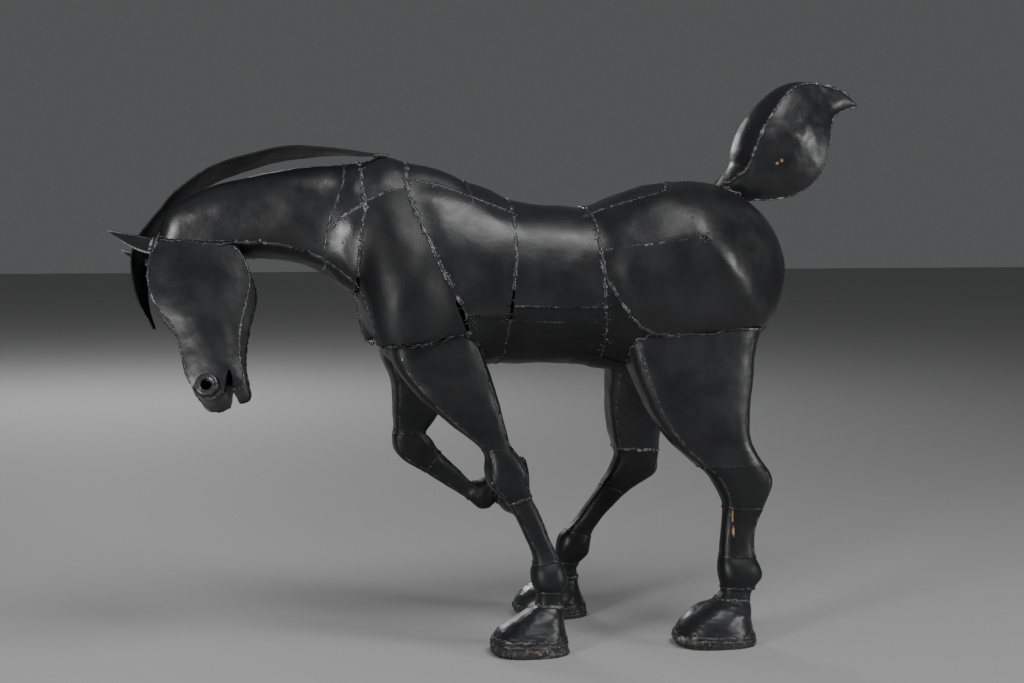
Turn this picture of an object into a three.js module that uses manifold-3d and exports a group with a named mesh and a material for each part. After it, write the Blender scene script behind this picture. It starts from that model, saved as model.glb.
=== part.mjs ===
// A horse welded from hand-cut plates of sheet steel, in millimetres, with +Z up.
// It faces -X with its head hanging, its left side is towards -Y, and it stands on three hooves
// at z = 0 while the right foreleg is folded up. Every plate, strip, ring and leg section is its
// own mesh, and the joint between two of them is an open gap, where the real work has a weld.

import * as THREE from "three";
import { mergeVertices } from "three/addons/utils/BufferGeometryUtils.js";
import Module from "manifold-3d";

const wasm = await Module();
wasm.setup();

// ---- Driving dimensions ----

const SHEET = 3; // thickness of every plate and strip
const JOINT = 1.6; // open joint between two plates of the body
const CLEAR = 0.8; // gap between two pieces that are fitted to each other
const END_GAP = 1.2; // gap between two leg sections

const HEAD_TILT = 23; // degrees that the head's right side hangs lower
const HEAD_TURN = 12; // degrees that the muzzle is turned to the left
const HEAD_CENTRE = [-546, -35.5, 575];
const HEAD_EDGE = 42; // half the head's thickness at the poll
const MUZZLE_EDGE = 38; // half the head's thickness at the lips
const MUZZLE_DOWN = 150; // from the head's centre down to the lips
const CHEEK_DOME = 9; // how far a cheek plate bulges at its middle

// The haunch plates rise to a point: how high, from how far away, how blunt the point is, and how
// far from the figure's middle plane the rise is complete.
const HAUNCH_APEX = { x: 303, z: 712, height: 15, reach: 175, blunt: 5, fade: 90 };

const MANE_THICKNESS = 3;
const MANE_UNDER = [-400, 0, 500]; // a point on the mane's underside, far below it

// Fittings of the head, in its own frame: forward, right, down.
const MANE_BAR = { low: [83, -6, -117], high: [95, 6, -103] };
const NOSTRIL = { forward: -10, down: 133, outer: 19, inner: 9.5, thickness: 4, proud: 7.5 };
const EAR = {
  root: { x: 72, z: -137 },
  length: 82,
  rightRoot: { x: 76, z: -134 },
  rightLength: 69,
  rise: 24,
  spacing: 43,
  width: 11,
  depth: 38,
  sweep: 0.25,
  foldRadius: 0.14,
  thickness: 2.5,
};

const PAINT = { color: 0x1b1c1e, roughness: 0.42, metalness: 0.5 };
const SIDES = [["left", -1], ["right", 1]];

// Body sections from the head to the rump. Each row: crest x, y, z; underside x, y, z; half width;
// height of the widest place as a fraction from crest to underside; squareness above and below it
// (2 is an ellipse, more is boxier); and tilt in degrees, right side down.
const BODY = [
  [-616, 31, 697, -481, 0, 687, 43, 0.5, 4, 4, 23],
  [-596, 29, 754, -460, -1, 683, 45, 0.5, 3, 4, 22],
  [-538, 26, 790, -437, -3, 681, 48, 0.5, 2.6, 4, 20],
  [-476, 22, 812, -403, -4, 676, 52, 0.52, 2.4, 4, 17],
  [-425, 17, 825, -368, -4, 667, 57, 0.54, 2.3, 4, 14],
  [-373, 12, 834, -333, -3, 651, 64, 0.56, 2.2, 4, 10],
  [-322, 7, 838, -302, -2, 627, 74, 0.6, 2.1, 3.8, 7],
  [-287, 4, 842, -279, -1, 605, 86, 0.66, 2.1, 3.5, 4],
  [-256, 2, 847, -261, 0, 569, 100, 0.72, 2, 3.8, 2],
  [-221, 0, 852, -238, 0, 522, 116, 0.78, 2, 4.6, 0],
  [-182, 0, 843, -203, 0, 489, 126, 0.78, 2, 4.4, 0],
  [-129, 0, 829, -135, 0, 481, 131, 0.72, 2.1, 3, 0],
  [-67, 0, 805, -67, 0, 482, 134, 0.65, 2.2, 1.9, 0],
  [14, 0, 774, 14, 0, 486, 134, 0.62, 2.4, 1.7, 0],
  [87, 0, 767, 87, 0, 485, 133, 0.61, 2.4, 1.7, 0],
  [142, 0, 770, 142, 0, 480, 136, 0.6, 2.3, 1.9, 0],
  [190, 0, 788, 190, 0, 478, 142, 0.58, 2.2, 2.3, 0],
  [245, 0, 805, 250, 0, 485, 148, 0.57, 2.1, 2.7, 0],
  [310, 0, 814, 320, 0, 498, 150, 0.56, 2.1, 2.8, 0],
  [366, 0, 807, 375, 0, 512, 145, 0.56, 2.1, 3.4, 0],
  [420, 0, 784, 420, 0, 524, 129, 0.54, 2.1, 3.8, 0],
  [460, 0, 750, 455, 0, 541, 103, 0.52, 2.1, 2.8, 0],
  [486, 0, 705, 481, 0, 573, 67, 0.5, 2.1, 2.1, 0],
  [498, 0, 664, 497, 0, 622, 27, 0.5, 2, 2, 0],
  [502, 0, 645, 502, 0, 645, 0, 0.5, 2, 2, 0],
];
const BODY_SIDES = 20;

// Joints between the body's plates, drawn in side view as x, z and cut on both sides at once.
const BODY_JOINTS = {
  neckPlates: [[-292, 870], [-308, 802], [-322, 768], [-335, 728], [-339, 690], [-337, 656]],
  neckWedge: [[-336, 722], [-303, 755], [-272, 769]],
  neckToTrunk: [
    [-274, 880], [-274, 794], [-271, 768], [-280, 712], [-285, 650], [-284, 616], [-284, 550],
  ],
  shoulderTop: [[-282, 770], [-236, 790], [-190, 803]],
  shoulderRear: [
    [-182, 880], [-199, 812], [-194, 777], [-178, 735], [-158, 684], [-136, 639], [-107, 585], [-100, 540],
  ],
  shoulderFoot: [[-290, 514], [-238, 529], [-178, 533], [-140, 543], [-94, 550]],
  ribTop: [[-206, 815], [-147, 804], [-108, 791], [-78, 779], [-34, 763], [-6, 750]],
  backSplit: [[-84, 850], [-88, 800], [-85, 772]],
  ribFoot: [[-114, 582], [-22, 577]],
  saddleFront: [[-10, 820], [-14, 770], [-17, 692], [-24, 633], [-29, 585], [-30, 530], [-28, 440]],
  saddleFoot: [[-36, 597], [55, 593], [146, 592]],
  saddleRear: [
    [118, 820], [126, 768], [131, 734], [131, 700], [135, 655], [137, 600], [142, 540], [150, 440],
  ],
  haunchFoot: [
    [128, 676], [145, 631], [172, 590], [199, 558], [230, 543], [290, 537], [345, 534], [395, 541],
    [440, 550], [560, 552],
  ],
  loinFoot: [[112, 748], [150, 761], [200, 777], [262, 795], [290, 815], [300, 850]],
};

// Joints that run along the neck and chest: from which place to which along BODY, and how many
// degrees round from the crest they lie.
const BODY_SEAMS = [
  { from: -0.3, to: 6.72, degrees: 0, count: 8 },
  { from: -0.15, to: 9.6, degrees: 135, count: 10 },
  { from: -0.15, to: 9.6, degrees: -135, count: 10 },
];

// Where the left and right plates of the hindquarters meet, in side view.
const RUMP_JOINTS = [
  { x: [270, 560], z: [700, 900] },
  { x: [146, 560], z: [400, 701] },
];

// A point of each body plate, left side, and whether the right side has its own copy.
const BODY_PLATES = [
  { name: "neck_plate", at: [-430, -50, 760], pair: true },
  { name: "neck_underside_strip", at: [-385, 0, 674] },
  { name: "neck_base_top_plate", at: [-292, -30, 815] },
  { name: "neck_base_plate", at: [-308, -70, 690], pair: true },
  { name: "withers_plate", at: [-225, -20, 840] },
  { name: "shoulder_plate", at: [-205, -110, 660], pair: true },
  { name: "chest_strip", at: [-256, 0, 572] },
  { name: "back_strip_front", at: [-135, 0, 826] },
  { name: "back_strip_rear", at: [-50, 0, 794] },
  { name: "rib_plate", at: [-80, -120, 680], pair: true },
  { name: "saddle_plate", at: [60, 0, 768] },
  { name: "belly_sheet_front", at: [-100, 0, 481] },
  { name: "belly_sheet_rear", at: [60, 0, 485] },
  { name: "loin_strip", at: [190, 0, 788] },
  { name: "haunch_plate", at: [300, -145, 660], pair: true },
  { name: "flank_sheet", at: [165, -120, 540], pair: true },
];

// The face and jaw edges of the head in its own frame, as forward, down.
const FACE_EDGE = [
  [64, -133], [79, -105], [84, -68], [77, -29], [62, -3], [44, 24], [34, 54], [28, 86], [24, 110],
  [12, 134], [-5, 152], [-22, 155], [-40, 146],
];
const JAW_EDGE = [
  [-61, -114], [-76, -95], [-86, -68], [-88, -40], [-80, -8], [-72, 24], [-68, 56], [-68, 84], [-74, 108],
  [-79, 128], [-74, 139], [-62, 142], [-52, 142],
];
const UPPER_LIP = [[-43, 122], [-47, 108]];
const LOWER_LIP = [[-52, 126], [-51, 113]];
const MOUTH_SLIT = [[-47, 108], [-39, 140], [-38, 175], [-60, 175], [-56, 138], [-51, 112]];

// The mane: middle of the strip x, y, z, half width, tilt and turn in degrees, right side down
// and back.
const MANE = [
  [-221, 0, 857, 11, 3, 2],
  [-258, 1, 858, 18, 6, 3],
  [-300, 3, 861, 26, 10, 5],
  [-348, 7, 862, 31, 14, 7],
  [-405, 13, 858, 34, 18, 9],
  [-461, 18, 844, 34, 20, 10],
  [-513, 25, 826, 34, 21, 11],
  [-550, 31, 805, 33, 22, 11],
  [-582, 37, 781, 32, 23, 12],
  [-607, 42, 753, 30, 23, 13],
  [-629, 41, 724, 28, 23, 19],
  [-646, 34, 692, 25, 23, 32],
  [-649, 24, 660, 23, 23, 44],
  [-649, 12, 629, 19, 23, 44],
  [-643, -5, 595, 13, 23, 44],
  [-628, -26, 558, 4, 23, 44],
];

// The tail's front and rear edges in side view, as x, z and half thickness there.
const TAIL_FRONT = [
  [376, 801, 30], [402, 820, 44], [420, 838, 54], [428, 864, 61], [438, 890, 62], [453, 916, 58],
  [475, 946, 50], [507, 976, 32], [546, 990, 13], [583, 986, 8], [616, 976, 6], [643, 955, 4],
];
const TAIL_REAR = [
  [396, 789, 28], [422, 780, 33], [460, 778, 41], [500, 784, 48], [531, 800, 55], [553, 822, 58],
  [566, 848, 56], [576, 880, 48], [584, 908, 34], [598, 931, 16], [620, 942, 8], [646, 950, 4],
];
const TAIL_DOME = 10;
const TAIL_BULGE = { height: 22, rows: 8.5 }; // the front strip bows out between its edges
const TAIL_MIDDLE = [510, 0, 880];

// Legs. Each row is a section: front x, z; rear x, z; y of its middle; half width; squareness.
// Hooves end on a flat sole.
const LEGS = [
  {
    name: "front_left",
    upper: "forearm",
    middle: "knee",
    rows: [
      [-236, 548, -92, 562, -73, 45, 3],
      [-222, 492, -66, 497, -79, 45, 3],
      [-176, 433, -48, 437, -94, 42, 3],
      [-125, 388, -39, 393, -108, 35, 3],
      [-84, 356, -31, 360, -117, 29, 2.6],
      [-71, 336, -17, 341, -120, 32, 2.6],
      [-72, 312, -2, 317, -123, 35, 2.6],
      [-66, 288, -1, 293, -125, 33, 2.6],
      [-42, 263, 4, 275, -128, 25, 2.6],
      [-28, 246, 7, 262, -130, 20, 2.4],
      [-13, 216, 23, 230, -133, 19, 2.4],
      [2, 179, 39, 190, -137, 20, 2.4],
      [8, 157, 51, 163, -139, 23, 2.4],
      [3, 138, 63, 141, -141, 31, 2.2],
      [5, 120, 66, 119, -142, 32, 2.2],
      [12, 104, 59, 103, -143, 25, 2.2],
      [13, 93, 57, 90, -144, 22, 2.4],
      [12, 84, 58, 79, -145, 23, 2.4],
    ],
    cuts: [0, 4.4, 8.4, 12.2, 15, 17],
    hoof: [
      [13, 81, 57, 76, -146, 24, 2.3],
      [-26, 61, 59, 58, -147, 40, 2.3],
      [-53, 41, 60, 42, -147, 50, 2.3],
      [-66, 22, 63, 20, -148, 57, 2.3],
      [-68, 8, 66, 8, -148, 60, 2.3],
      [-64, 0, 66, 0, -148, 58, 2.3],
    ],
  },
  {
    name: "front_right",
    upper: "forearm",
    middle: "knee",
    rows: [
      [-236, 548, -92, 562, 73, 45, 3],
      [-222, 496, -88, 500, 79, 45, 3],
      [-203, 452, -97, 450, 89, 42, 3],
      [-199, 400, -118, 395, 98, 36, 3],
      [-197, 366, -138, 362, 103, 30, 2.6],
      [-200, 346, -140, 356, 105, 32, 2.6],
      [-195, 322, -130, 344, 107, 33, 2.6],
      [-178, 304, -124, 335, 109, 31, 2.6],
      [-150, 288, -117, 325, 110, 25, 2.6],
      [-130, 275, -104, 311, 110, 20, 2.4],
      [-100, 255, -79, 287, 111, 18, 2.4],
      [-72, 237, -56, 263, 112, 19, 2.4],
      [-57, 226, -44, 262, 112, 24, 2.2],
      [-40, 213, -31, 267, 112, 28, 2.2],
      [-24, 212, -20, 270, 112, 27, 2.2],
      [-14, 219, -13, 264, 112, 22, 2.2],
      [-9, 222, -8, 262, 112, 21, 2.4],
      [-4, 221, -4, 263, 112, 22, 2.4],
    ],
    cuts: [0, 4.4, 8.4, 11.8, 15, 17],
    hoof: [
      [-3, 220, -3, 264, 112, 24, 2.3],
      [8, 207, 8, 277, 112, 38, 2.3],
      [20, 200, 20, 289, 112, 48, 2.3],
      [31, 196, 31, 299, 112, 55, 2.3],
      [40, 196, 40, 304, 112, 57, 2.3],
      [45, 199, 45, 303, 112, 55, 2.3],
    ],
  },
  {
    name: "hind_left",
    upper: "thigh",
    middle: "hock",
    rows: [
      [176, 562, 430, 562, -78, 52, 3],
      [190, 500, 417, 498, -84, 50, 3],
      [205, 454, 411, 450, -92, 46, 3],
      [232, 395, 403, 397, -102, 40, 3],
      [267, 349, 404, 356, -109, 35, 3],
      [299, 319, 422, 322, -113, 32, 2.8],
      [325, 297, 440, 297, -116, 31, 2.6],
      [345, 270, 443, 276, -118, 29, 2.6],
      [355, 245, 430, 240, -121, 25, 2.6],
      [354, 220, 418, 215, -124, 21, 2.4],
      [351, 190, 411, 190, -127, 20, 2.4],
      [348, 160, 409, 157, -131, 22, 2.4],
      [343, 138, 418, 134, -135, 29, 2.2],
      [343, 118, 421, 115, -137, 30, 2.2],
      [346, 100, 409, 98, -139, 24, 2.2],
      [348, 92, 400, 88, -140, 22, 2.4],
      [340, 80, 397, 76, -141, 23, 2.4],
    ],
    cuts: [0, 5.4, 8.3, 11.3, 14.2, 16],
    hoof: [
      [332, 77, 396, 72, -143, 25, 2.3],
      [304, 66, 397, 58, -145, 41, 2.3],
      [277, 47, 398, 42, -146, 52, 2.3],
      [263, 24, 401, 20, -147, 58, 2.3],
      [260, 10, 404, 8, -147, 61, 2.3],
      [266, 0, 404, 0, -147, 59, 2.3],
    ],
  },
  {
    name: "hind_right",
    upper: "thigh",
    middle: "hock",
    rows: [
      [176, 562, 430, 562, 78, 52, 3],
      [192, 500, 408, 498, 84, 50, 3],
      [199, 450, 372, 446, 90, 46, 3],
      [200, 400, 330, 398, 98, 41, 3],
      [206, 358, 304, 356, 104, 36, 3],
      [216, 322, 301, 316, 110, 32, 2.8],
      [221, 303, 300, 295, 113, 31, 2.6],
      [213, 280, 294, 268, 116, 29, 2.6],
      [200, 257, 248, 237, 120, 25, 2.6],
      [184, 231, 219, 208, 124, 20, 2.4],
      [160, 195, 190, 173, 130, 19, 2.4],
      [138, 168, 180, 152, 134, 21, 2.4],
      [120, 150, 177, 134, 136, 28, 2.2],
      [113, 127, 173, 115, 138, 29, 2.2],
      [115, 104, 158, 98, 140, 23, 2.2],
      [114, 92, 152, 88, 141, 20, 2.4],
      [104, 80, 154, 74, 142, 22, 2.4],
    ],
    cuts: [0, 5.1, 8.3, 11.3, 14.2, 16],
    hoof: [
      [88, 71, 157, 68, 143, 26, 2.3],
      [58, 54, 160, 48, 145, 43, 2.3],
      [42, 36, 164, 34, 146, 53, 2.3],
      [36, 20, 169, 18, 147, 57, 2.3],
      [38, 8, 172, 8, 147, 59, 2.3],
      [44, 0, 173, 0, 147, 57, 2.3],
    ],
  },
];
const LEG_SIDES = 12;

const ROOM = 1000; // longer than any cut that has to pass right through
const CUT_DEPTH = 14; // how far a lengthwise cut reaches each way from the surface
const NECK_OPENING = 30; // how far the hollow runs out through the neck's open end
const CRUMB = 500; // a cut piece of less than this many cubic millimetres is no plate
const SMOOTHING = 0.5; // how far a plate's facets may move when they are merged

// ---- Curves ----

const radians = (degrees) => (degrees * Math.PI) / 180;
const steps = (from, to, count) =>
  Array.from({ length: count + 1 }, (_, i) => from + ((to - from) * i) / count);

// A smooth curve through rows of numbers, at place 0 for the first row, 1 for the second, and so on.
function along(rows, place) {
  const first = Math.min(Math.max(Math.floor(place), 0), rows.length - 2);
  const t = place - first;
  const [b, c] = [rows[first], rows[first + 1]];
  return b.map((_, k) => {
    const a = first > 0 ? rows[first - 1][k] : 2 * b[k] - c[k];
    const d = first + 2 < rows.length ? rows[first + 2][k] : 2 * c[k] - b[k];
    const slope = c[k] - a;
    const bend = 2 * a - 5 * b[k] + 4 * c[k] - d;
    const twist = 3 * b[k] - a - 3 * c[k] + d;
    return b[k] + 0.5 * t * (slope + t * (bend + t * twist));
  });
}

// A rise and fall from 0 to 1 and back over a width, for v from 0 to 1.
const arch = (v) => 4 * v * (1 - v);

// The direction of the right side where the figure leans by so many degrees, right side down,
// and turns by so many, right side back.
function rightward(tilt, turn = (tilt * HEAD_TURN) / HEAD_TILT) {
  const [lean, swing] = [radians(tilt), radians(turn)];
  const level = Math.cos(lean);
  return new THREE.Vector3(Math.sin(swing) * level, Math.cos(swing) * level, -Math.sin(lean));
}

// The unit normal of a surface point(u, v), by small steps along both.
function normalAt(point, u, v) {
  const small = 1e-3;
  const alongU = point(u + small, v).sub(point(u - small, v));
  const alongV = point(u, v + small).sub(point(u, v - small));
  return alongU.cross(alongV).normalize();
}

// ---- Solids ----

// A closed solid facing outwards, from its points and the corners of its triangles.
function solidFrom(points, faces) {
  const geometry = new THREE.BufferGeometry().setFromPoints(points);
  geometry.setIndex(faces);
  const merged = mergeVertices(geometry, 1e-3);
  const index = merged.index.array;
  const corners = [];
  for (let i = 0; i < index.length; i += 3) {
    const [a, b, c] = [index[i], index[i + 1], index[i + 2]];
    if (a !== b && b !== c && c !== a) corners.push(a, b, c);
  }
  const vertProperties = merged.attributes.position.array;
  const make = (order) =>
    new wasm.Manifold(new wasm.Mesh({ numProp: 3, vertProperties, triVerts: new Uint32Array(order) }));
  const made = make(corners);
  return made.volume() > 0 ? made : make(corners.reverse());
}

function solidOfGeometry(geometry) {
  const position = geometry.getAttribute("position");
  const points = Array.from({ length: position.count }, (_, i) =>
    new THREE.Vector3().fromBufferAttribute(position, i),
  );
  const faces = geometry.index ? [...geometry.index.array] : points.map((_, i) => i);
  return solidFrom(points, faces);
}

function geometryOf(solid) {
  const { vertProperties, triVerts } = solid.getMesh();
  const geometry = new THREE.BufferGeometry();
  geometry.setAttribute("position", new THREE.BufferAttribute(vertProperties, 3));
  geometry.setIndex(new THREE.BufferAttribute(triVerts, 1));
  const flat = geometry.toNonIndexed();
  flat.computeVertexNormals();
  return flat;
}

// The triangles that join rings of equally many points, one ring to the next.
function facesBetween(ringCount, sides) {
  const faces = [];
  for (let ring = 0; ring < ringCount - 1; ring += 1)
    for (let side = 0; side < sides; side += 1) {
      const next = (side + 1) % sides;
      const [a, b] = [ring * sides + side, ring * sides + next];
      faces.push(a, b, b + sides);
      faces.push(a, b + sides, a + sides);
    }
  return faces;
}

// A solid through rings of equally many points, closed by a fan at each end.
function loft(rings) {
  const sides = rings[0].length;
  const points = rings.flat();
  const faces = facesBetween(rings.length, sides);
  for (const ring of [0, rings.length - 1]) {
    const middle = new THREE.Vector3();
    for (const point of rings[ring]) middle.addScaledVector(point, 1 / sides);
    points.push(middle);
    const hub = points.length - 1;
    for (let side = 0; side < sides; side += 1) {
      const edge = [ring * sides + side, ring * sides + ((side + 1) % sides)];
      if (ring === 0) edge.reverse();
      faces.push(edge[0], edge[1], hub);
    }
  }
  return solidFrom(points, faces);
}

// A sheet over a grid of a surface point(u, v), with its thickness towards a place inside.
function sheet(point, us, vs, thickness, inside) {
  const [middleU, middleV] = [us[us.length >> 1], (vs[0] + vs[vs.length - 1]) / 2];
  const inward = inside.clone().sub(point(middleU, middleV));
  const turn = Math.sign(inward.dot(normalAt(point, middleU, middleV)));
  const outer = us.map((u) => vs.map((v) => point(u, v)));
  const inner = us.map((u, i) =>
    vs.map((v, j) => outer[i][j].clone().addScaledVector(normalAt(point, u, v), turn * thickness)),
  );
  const rings = us.map((_, i) => [...outer[i], ...inner[i].reverse()]);
  const sides = 2 * vs.length;
  const faces = facesBetween(rings.length, sides);
  for (let side = 0; side < vs.length - 1; side += 1)
    for (const ring of [0, rings.length - 1]) {
      const across = [side, side + 1, sides - 2 - side, sides - 1 - side];
      const [a, b, c, d] = across.map((corner) => ring * sides + corner);
      if (ring === 0) faces.push(a, d, c, a, c, b);
      else faces.push(a, b, c, a, c, d);
    }
  return solidFrom(rings.flat(), faces);
}

function block(low, high) {
  const size = high.map((value, k) => value - low[k]);
  const geometry = new THREE.BoxGeometry(...size);
  geometry.translate(...low.map((value, k) => value + size[k] / 2));
  return solidOfGeometry(geometry);
}

// An outline in side view made solid from Y = -ROOM / 2 to Y = ROOM / 2.
function extrudeThrough(outline) {
  const shape = new THREE.Shape(outline);
  const geometry = new THREE.ExtrudeGeometry(shape, { depth: ROOM, bevelEnabled: false });
  geometry.rotateX(Math.PI / 2);
  geometry.translate(0, ROOM / 2, 0);
  return solidOfGeometry(geometry);
}

// A wall standing along a side-view line, as wide as a joint, that passes right through in Y.
function jointWall(line) {
  const path = line.map(([x, z]) => new THREE.Vector2(x, z));
  const left = [];
  const right = [];
  path.forEach((point, i) => {
    const before = path[Math.max(i - 1, 0)];
    const after = path[Math.min(i + 1, path.length - 1)];
    const into = point.clone().sub(before);
    const out = after.clone().sub(point);
    if (i === 0) into.copy(out);
    if (i === path.length - 1) out.copy(into);
    const mitre = into.normalize().add(out.normalize()).normalize();
    const reach = JOINT / 2 / Math.max(mitre.dot(into), 0.5);
    const offset = new THREE.Vector2(-mitre.y, mitre.x).multiplyScalar(reach);
    left.push(point.clone().add(offset));
    right.push(point.clone().sub(offset));
  });
  return extrudeThrough([...left, ...right.reverse()]);
}

// ---- The body's surface ----

// A point on a rounded section between two ends; angle 0 is at the first end, 90 degrees left.
function sectionPoint(first, second, right, half, widest, squareFirst, squareSecond, angle) {
  const middle = first.clone().lerp(second, widest);
  const c = Math.cos(angle);
  const s = Math.sin(angle);
  const power = 2 / (c > 0 ? squareFirst : squareSecond);
  const reach = (c > 0 ? first : second).clone().sub(middle);
  return middle
    .addScaledVector(reach, Math.abs(c) ** power)
    .addScaledVector(right, -Math.sign(s) * half * Math.abs(s) ** power);
}

// How far the haunch plate is raised towards its pointed middle, fading out towards the crest.
function haunchRise(x, y, z) {
  const { reach, height, blunt, fade } = HAUNCH_APEX;
  const away = Math.hypot(x - HAUNCH_APEX.x, z - HAUNCH_APEX.z, blunt);
  return height * Math.max(0, 1 - away / reach) * Math.min(Math.abs(y) / fade, 1);
}

function bodyPoint(place, angle) {
  const [x1, y1, z1, x2, y2, z2, half, widest, above, below, tilt] = along(BODY, place);
  const crest = new THREE.Vector3(x1, y1, z1);
  const under = new THREE.Vector3(x2, y2, z2);
  const p = sectionPoint(crest, under, rightward(tilt), half, widest, above, below, angle);
  p.y += Math.sign(p.y) * haunchRise(p.x, p.y, p.z);
  return p;
}

const bodyCentre = (place) => bodyPoint(place, 0).lerp(bodyPoint(place, Math.PI), 0.5);

// The whole body with its surface moved outwards by "grow"; the neck's end moves by "stretch".
function bodySolid(grow, stretch) {
  const rump = BODY.length - 1;
  const nudge = 0.01; // keeps the normal's small steps off the first row and off the crest line
  const rings = steps(0, rump, rump).map((place) =>
    steps(0, BODY_SIDES - 1, BODY_SIDES - 1).map((side) => {
      const angle = (side * 2 * Math.PI) / BODY_SIDES;
      const point = bodyPoint(place, angle);
      if (place === rump) return point.setX(point.x + grow);
      const normal = normalAt(bodyPoint, Math.max(place, nudge), angle + nudge);
      if (normal.dot(point.clone().sub(bodyCentre(place))) < 0) normal.negate();
      return point.addScaledVector(normal, grow);
    }),
  );
  const neckward = bodyCentre(0).sub(bodyCentre(0.2)).setLength(stretch);
  if (stretch > 0) rings.unshift(rings[0].map((point) => point.clone().add(neckward)));
  return loft(rings);
}

// A cut along the body's length at one angle of its sections, as wide as a joint.
function lengthwiseCut({ from, to, degrees, count }) {
  const angle = radians(degrees);
  const rings = steps(from, to, count).map((place) => {
    const surface = bodyPoint(place, angle);
    const outward = surface.clone().sub(bodyCentre(place)).normalize();
    const travel = bodyPoint(place + 0.01, angle).sub(bodyPoint(place - 0.01, angle));
    const across = outward.clone().cross(travel).setLength(JOINT / 2);
    const inside = surface.clone().addScaledVector(outward, -CUT_DEPTH);
    const outside = surface.clone().addScaledVector(outward, CUT_DEPTH);
    const near = [inside, outside].map((point) => point.clone().sub(across));
    return [...near, outside.add(across), inside.add(across)];
  });
  return loft(rings);
}

// ---- The figure ----

const horse = new THREE.Group();

function paintedMesh(name, solid, lightness) {
  const color = new THREE.Color(PAINT.color).multiplyScalar(lightness);
  const { roughness, metalness } = PAINT;
  const material = new THREE.MeshStandardMaterial({ color, roughness, metalness });
  const mesh = new THREE.Mesh(geometryOf(solid), material);
  mesh.name = name;
  return mesh;
}

function addPiece(parent, name, solid, lightness = 1) {
  parent.add(paintedMesh(name, solid, lightness));
}

// The distance from a point to the nearest triangle's middle of a solid.
function distanceTo(solid, probe) {
  const { vertProperties, triVerts } = solid.getMesh();
  const corner = (index) => new THREE.Vector3().fromArray(vertProperties, 3 * index);
  let nearest = Infinity;
  for (let i = 0; i < triVerts.length; i += 3) {
    const middle = corner(triVerts[i]).add(corner(triVerts[i + 1])).add(corner(triVerts[i + 2]));
    nearest = Math.min(nearest, middle.divideScalar(3).distanceTo(probe));
  }
  return nearest;
}

// Body plates: a hollow shell cut along its joints.
function addBody() {
  const shell = bodySolid(0, 0).subtract(bodySolid(-SHEET, NECK_OPENING));
  const half = JOINT / 2;
  const walls = [
    ...Object.values(BODY_JOINTS).map(jointWall),
    ...BODY_SEAMS.map(lengthwiseCut),
    ...RUMP_JOINTS.map(({ x, z }) => block([x[0], -half, z[0]], [x[1], half, z[1]])),
  ];
  const plates = shell
    .subtract(wasm.Manifold.union(walls))
    .decompose()
    .filter((piece) => piece.volume() > CRUMB);
  const wanted = BODY_PLATES.flatMap(({ name, at: [x, y, z], pair }) =>
    pair
      ? [
          { name: name + "_left", probe: new THREE.Vector3(x, y, z) },
          { name: name + "_right", probe: new THREE.Vector3(x, -y, z) },
        ]
      : [{ name, probe: new THREE.Vector3(x, y, z) }],
  );
  if (plates.length !== wanted.length) throw new Error("the body falls into " + plates.length + " plates");
  wanted.forEach(({ name, probe }, i) => {
    const distances = plates.map((plate) => distanceTo(plate, probe));
    const best = distances.indexOf(Math.min(...distances));
    addPiece(horse, name, plates[best].simplify(SMOOTHING), 1 + 0.04 * (i % 3));
  });
}

// The head: two cheek plates with a face strip and a jaw strip between them.
// Its own frame is x forward (towards the face), y to the horse's right, z down the face.
function addHead() {
  const head = new THREE.Group();
  const right = rightward(HEAD_TILT);
  const forward = new THREE.Vector3(-1, 0, 0);
  forward.addScaledVector(right, -forward.dot(right)).normalize();
  const down = forward.clone().cross(right);
  head.setRotationFromMatrix(new THREE.Matrix4().makeBasis(forward, right, down));
  head.position.set(...HEAD_CENTRE);
  horse.add(head);

  const last = FACE_EDGE.length - 1;
  const middle = new THREE.Vector3();
  const edgeAt = (z) =>
    THREE.MathUtils.lerp(HEAD_EDGE, MUZZLE_EDGE, THREE.MathUtils.smoothstep(z, 0, MUZZLE_DOWN));
  const domeAt = (u, v) => CHEEK_DOME * arch(v) * Math.sin((Math.PI * (u + 1.5)) / (last + 1.5));
  const slit = extrudeThrough(MOUTH_SLIT.map(([x, z]) => new THREE.Vector2(x, z)));
  for (const [side, sign] of SIDES) {
    const cheek = (u, v) => {
      const [x1, z1] = along(FACE_EDGE, u);
      const [x2, z2] = along(JAW_EDGE, u);
      const z = z1 + (z2 - z1) * v;
      return new THREE.Vector3(x1 + (x2 - x1) * v, sign * (edgeAt(z) + domeAt(u, v)), z);
    };
    const plate = sheet(cheek, steps(0, last, last), steps(0, 1, 4), SHEET, middle);
    addPiece(head, "cheek_plate_" + side, plate.subtract(slit), 1.05);
    addNostril(head, side, sign, edgeAt(NOSTRIL.down) + NOSTRIL.proud);
    addEar(head, side, sign);
  }
  const strip = (path) => {
    const across = (u, v) => {
      const [x, z] = along(path, u);
      return new THREE.Vector3(x, v * (edgeAt(z) - SHEET - CLEAR), z);
    };
    const end = path.length - 1;
    return sheet(across, steps(0.05, end, Math.round(1.4 * end)), [-1, 1], SHEET, middle);
  };
  addPiece(head, "face_strip", strip([...FACE_EDGE, ...UPPER_LIP]));
  addPiece(head, "jaw_strip", strip([...JAW_EDGE, ...LOWER_LIP]));
  addPiece(head, "mane_bar", block(MANE_BAR.low, MANE_BAR.high));
}

function addNostril(head, side, sign, away) {
  const { forward, down, outer, inner, thickness } = NOSTRIL;
  const profile = [[inner, 0], [outer, 0], [outer, thickness], [inner, thickness], [inner, 0]];
  const ring = new THREE.LatheGeometry(profile.map(([x, y]) => new THREE.Vector2(x, y)), 16);
  const mesh = paintedMesh("nostril_ring_" + side, solidOfGeometry(ring), 1.2);
  mesh.position.set(forward, sign * away, down);
  if (sign < 0) mesh.rotation.x = Math.PI;
  head.add(mesh);
}

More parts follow.
